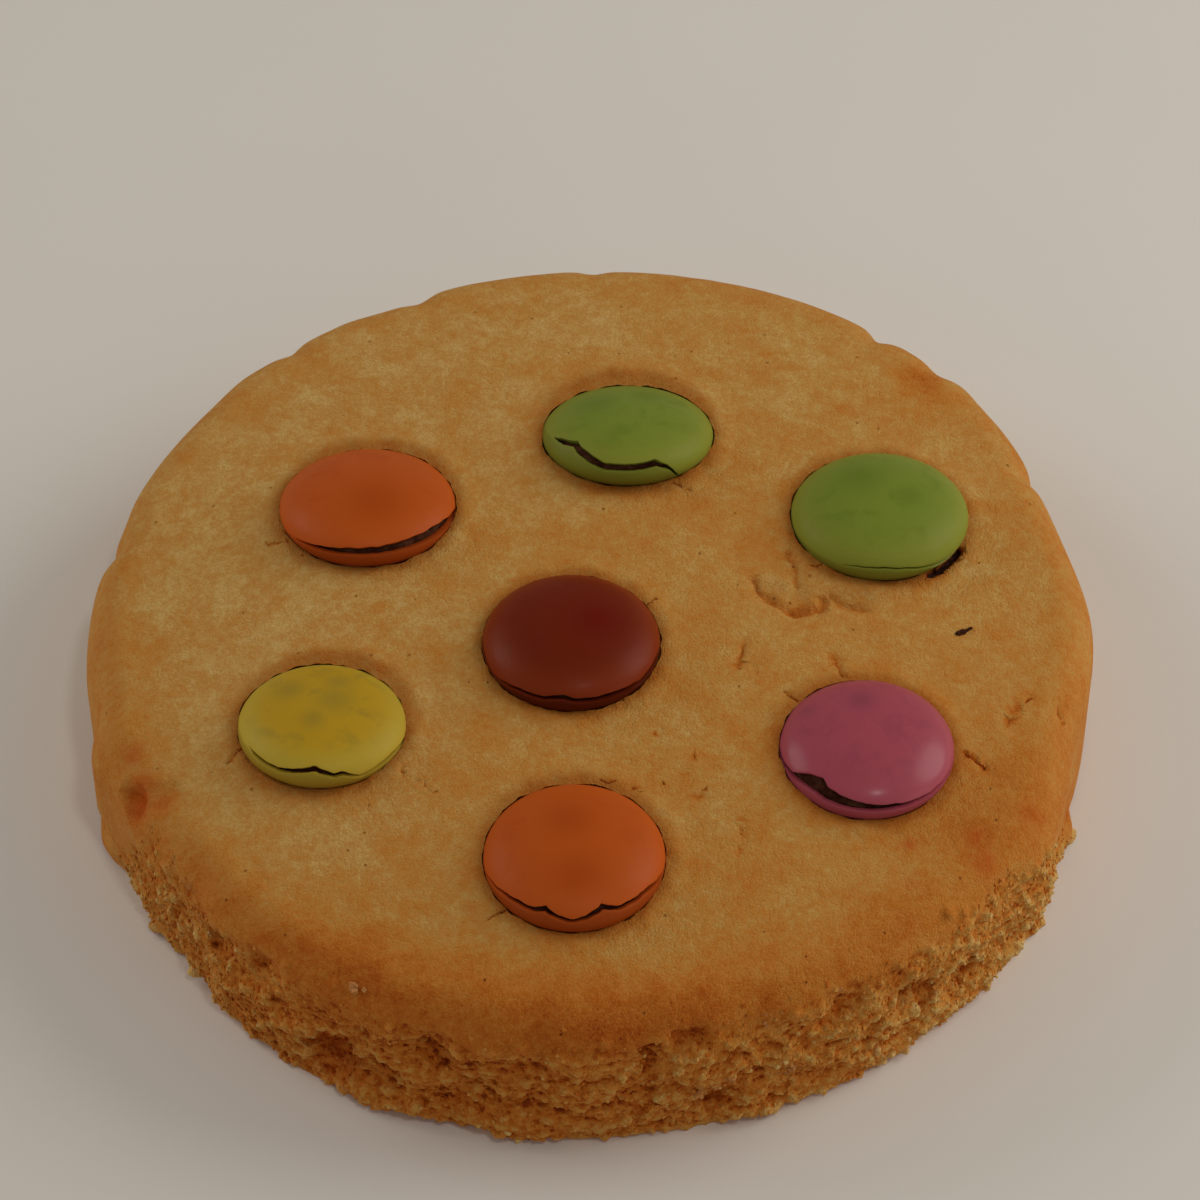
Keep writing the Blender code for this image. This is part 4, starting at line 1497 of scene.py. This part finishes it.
def make_floor():
    """A plain pale floor."""
    deselect_all()
    bpy.ops.mesh.primitive_plane_add(size=3.0, location=(0.0, 0.0, 0.0))
    floor = name_new("floor")
    material, tree, shader, place = start_material("pale_floor")
    tone = remap(tree, grainy(tree, place, 60.0 * MM, 2.0), 0.3, 0.7)
    shade = blend_colours(tree, tone, colour(0.830, 0.775, 0.690), colour(0.845, 0.790, 0.705))
    feed(tree, shader, {"Base Color": shade, "Roughness": 0.6, "Specular IOR Level": 0.15})
    floor.data.materials.append(material)


# The lights: name, azimuth and elevation in degrees, distance and size in metres, watts and tint
LIGHTS = (
    ("window_right", 105.0, 32.0, 0.47, 0.34, 0.90, (1.0, 0.98, 0.95)),
    ("window_left", -112.0, 30.0, 0.6, 0.34, 0.70, (1.0, 0.98, 0.95)),
    ("lamp", 26.0, 66.0, 0.9, 0.085, 0.62, (1.0, 0.97, 0.92)),
    ("fill_right", 62.0, 9.0, 0.6, 0.4, 0.26, (1.0, 0.97, 0.93)),
    ("fill_left", -72.0, 9.0, 0.6, 0.4, 0.20, (1.0, 0.97, 0.93)),
)


def add_light(name, azimuth, elevation, distance, size, power, tint):
    """A soft round light that faces the cookie. Azimuth 0 is in front."""
    turn, rise = math.radians(azimuth), math.radians(elevation)
    away = Vector((math.sin(turn) * math.cos(rise), -math.cos(turn) * math.cos(rise), math.sin(rise)))
    lamp = bpy.data.lights.new(name, "AREA")
    lamp.shape = "DISK"
    lamp.size = size
    lamp.energy = power
    lamp.color = tint
    holder = bpy.data.objects.new(name, lamp)
    holder.location = away * distance
    holder.rotation_euler = away.to_track_quat("Z", "Y").to_euler()
    bpy.context.scene.collection.objects.link(holder)


def light_studio():
    """Soft light from above, a soft window and a weak low fill on each side, and a lamp."""
    world = bpy.data.worlds.new("studio")
    bpy.context.scene.world = world
    world.use_nodes = True
    backdrop = world.node_tree.nodes["Background"]
    backdrop.inputs["Color"].default_value = colour(1.0, 0.985, 0.96)
    backdrop.inputs["Strength"].default_value = 0.213
    for light in LIGHTS:
        add_light(*light)
    bpy.context.scene.view_settings.view_transform = "Standard"


def place_camera():
    """The camera of the photograph."""
    rise = math.radians(CAMERA_ELEVATION)
    right = Vector((1.0, 0.0, 0.0))
    up = Vector((0.0, math.sin(rise), math.cos(rise)))
    back = Vector((0.0, -math.cos(rise), math.sin(rise)))
    lens = bpy.data.cameras.new("camera")
    lens.lens = FOCAL_PIXELS / PICTURE_PIXELS * SENSOR_WIDTH
    lens.sensor_width = SENSOR_WIDTH
    lens.clip_start = 0.01
    camera = bpy.data.objects.new("camera", lens)
    turned = Matrix((right, up, back)).transposed().to_4x4()
    camera.matrix_world = Matrix.Translation(CAMERA_TARGET + back * CAMERA_DISTANCE) @ turned
    bpy.context.scene.collection.objects.link(camera)
    bpy.context.scene.camera = camera


def main():
    place_camera()
    light_studio()
    make_floor()
    baked = build_dough_group()
    sugar = build_sugar_group()
    dough = make_dough(dough_material("baked_dough", baked, 0.33 * MM))
    make_side_grains(dough, dough_material("crumb_grains", baked, 0.06 * MM))
    grain_finish = bpy.data.materials["crumb_grains"]
    make_crumbs("loose_crumbs", make_clump, LOOSE_CRUMBS, dough, grain_finish)
    make_crumbs("pale_crumbs", make_grain, PALE_CRUMBS, dough, pale_material())
    make_speck(speck_material())
    shells = {name: sugar_material(name, sugar) for name in SUGAR_COLOURS}
    chocolate = chocolate_material()
    for button, (_, finish, _) in BUTTONS.items():
        make_shell(button, shells[finish])
        make_centre(button, chocolate)
    deselect_all()


main()
